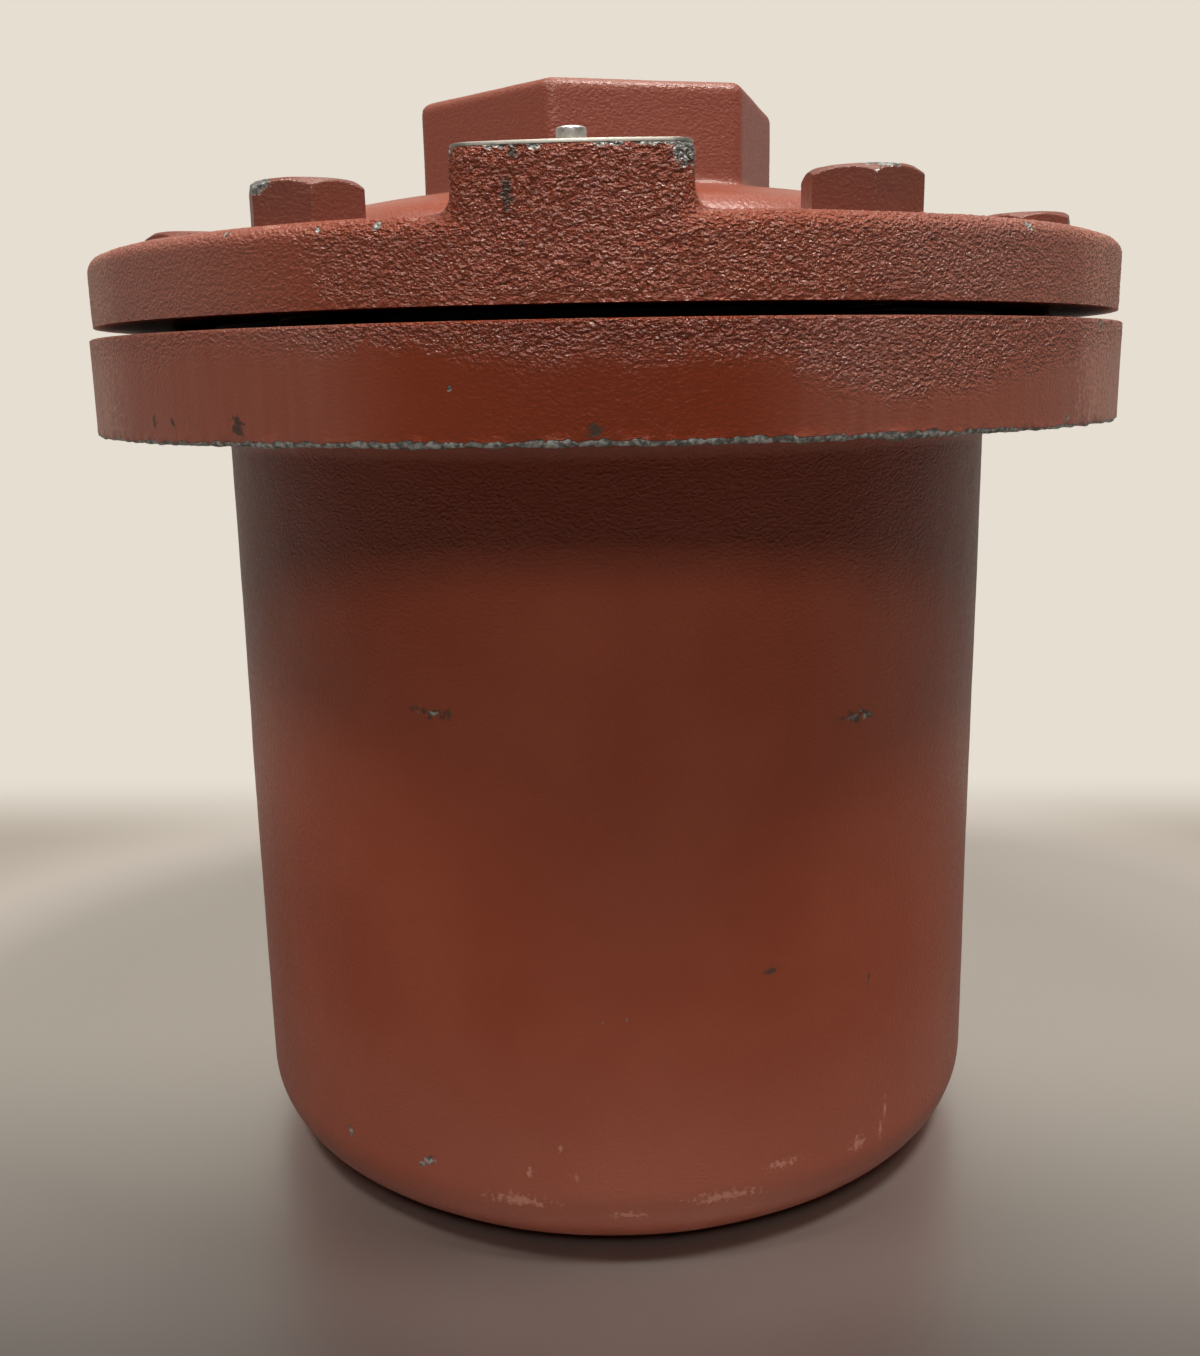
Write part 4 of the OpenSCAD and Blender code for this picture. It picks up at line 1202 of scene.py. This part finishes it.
def build_camera():
    data = bpy.data.cameras.new("camera")
    data.lens = CAMERA_LENS
    data.clip_start = 0.01
    camera = bpy.data.objects.new("camera", data)
    bpy.context.scene.collection.objects.link(camera)
    around = math.radians(CAMERA_AZIMUTH)
    spot = Matrix.Translation((CAMERA_AWAY * math.sin(around) * MM, -CAMERA_AWAY * math.cos(around) * MM,
                               CAMERA_HEIGHT * MM))
    yaw = Matrix.Rotation(math.radians(CAMERA_AZIMUTH + CAMERA_AIM), 4, "Z")
    pitch = Matrix.Rotation(math.radians(90 - CAMERA_PITCH), 4, "X")
    roll = Matrix.Rotation(math.radians(CAMERA_ROLL), 4, "Z")
    camera.matrix_world = spot @ yaw @ pitch @ roll
    bpy.context.scene.camera = camera


def dress(piece, material, node):
    """Gives a new piece its material and lets it stand for its node."""
    piece.data.materials.clear()
    piece.data.materials.append(material)
    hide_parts(node)
    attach(piece, "valve")


def build_pieces():
    casting = paint("casting_paint", CASTING_GLOSS)
    body = build_body()
    wear_body(body)
    dress(body, casting, "body")
    cover = build_cover()
    wear_cover(cover)
    dress(cover, casting, "cover")
    screws = build_screws()
    wear_screws(screws)
    dress(screws, paint("screw_paint", SCREW_GLOSS, SCREW_TONE), "cover_screws")
    tag_metal = metal("tag_metal", (0.6, 0.57, 0.51), 0.42, (1, 6, 1))
    dress(build_tag_plate(), tag_metal, "tag_plate")
    bright_steel = metal("bright_steel", (0.85, 0.84, 0.82), 0.4, (1, 1, 1))
    dress(build_tag_screws(), bright_steel, "tag_screws")


NODE_LOOKS = {
    "rubber": ["cover_gasket", "seat_ring", "float_bumper"],
    "stainless": ["seat_retainer", "seat_screws", "guide_spider", "upper_stem", "float_top_hub",
                  "float_bottom_hub", "lower_stem", "baffle_plate", "baffle_posts", "baffle_screws",
                  "baffle_washers"],
    "float_steel": ["float_upper_shell", "float_seam", "float_lower_shell"],
    "bronze": ["upper_guide_bush", "lower_guide_bush", "bush_nut"],
}


def dress_nodes():
    """Materials for the pieces inside, which keep their shapes."""
    looks = {
        "rubber": rubber("rubber"),
        "stainless": metal("stainless", (0.58, 0.58, 0.56), 0.32, (1, 1, 6)),
        "float_steel": metal("float_steel", (0.62, 0.62, 0.6), 0.26, (1, 1, 12)),
        "bronze": metal("bronze", (0.5, 0.33, 0.15), 0.34, (1, 1, 6)),
    }
    for look, names in NODE_LOOKS.items():
        for name in names:
            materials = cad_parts[name].data.materials
            materials.clear()
            materials.append(looks[look])


bpy.context.scene.view_settings.view_transform = "Standard"
build_camera()
build_world()
build_floor()
for lamp in LAMPS:
    add_lamp(*lamp)
build_pieces()
dress_nodes()
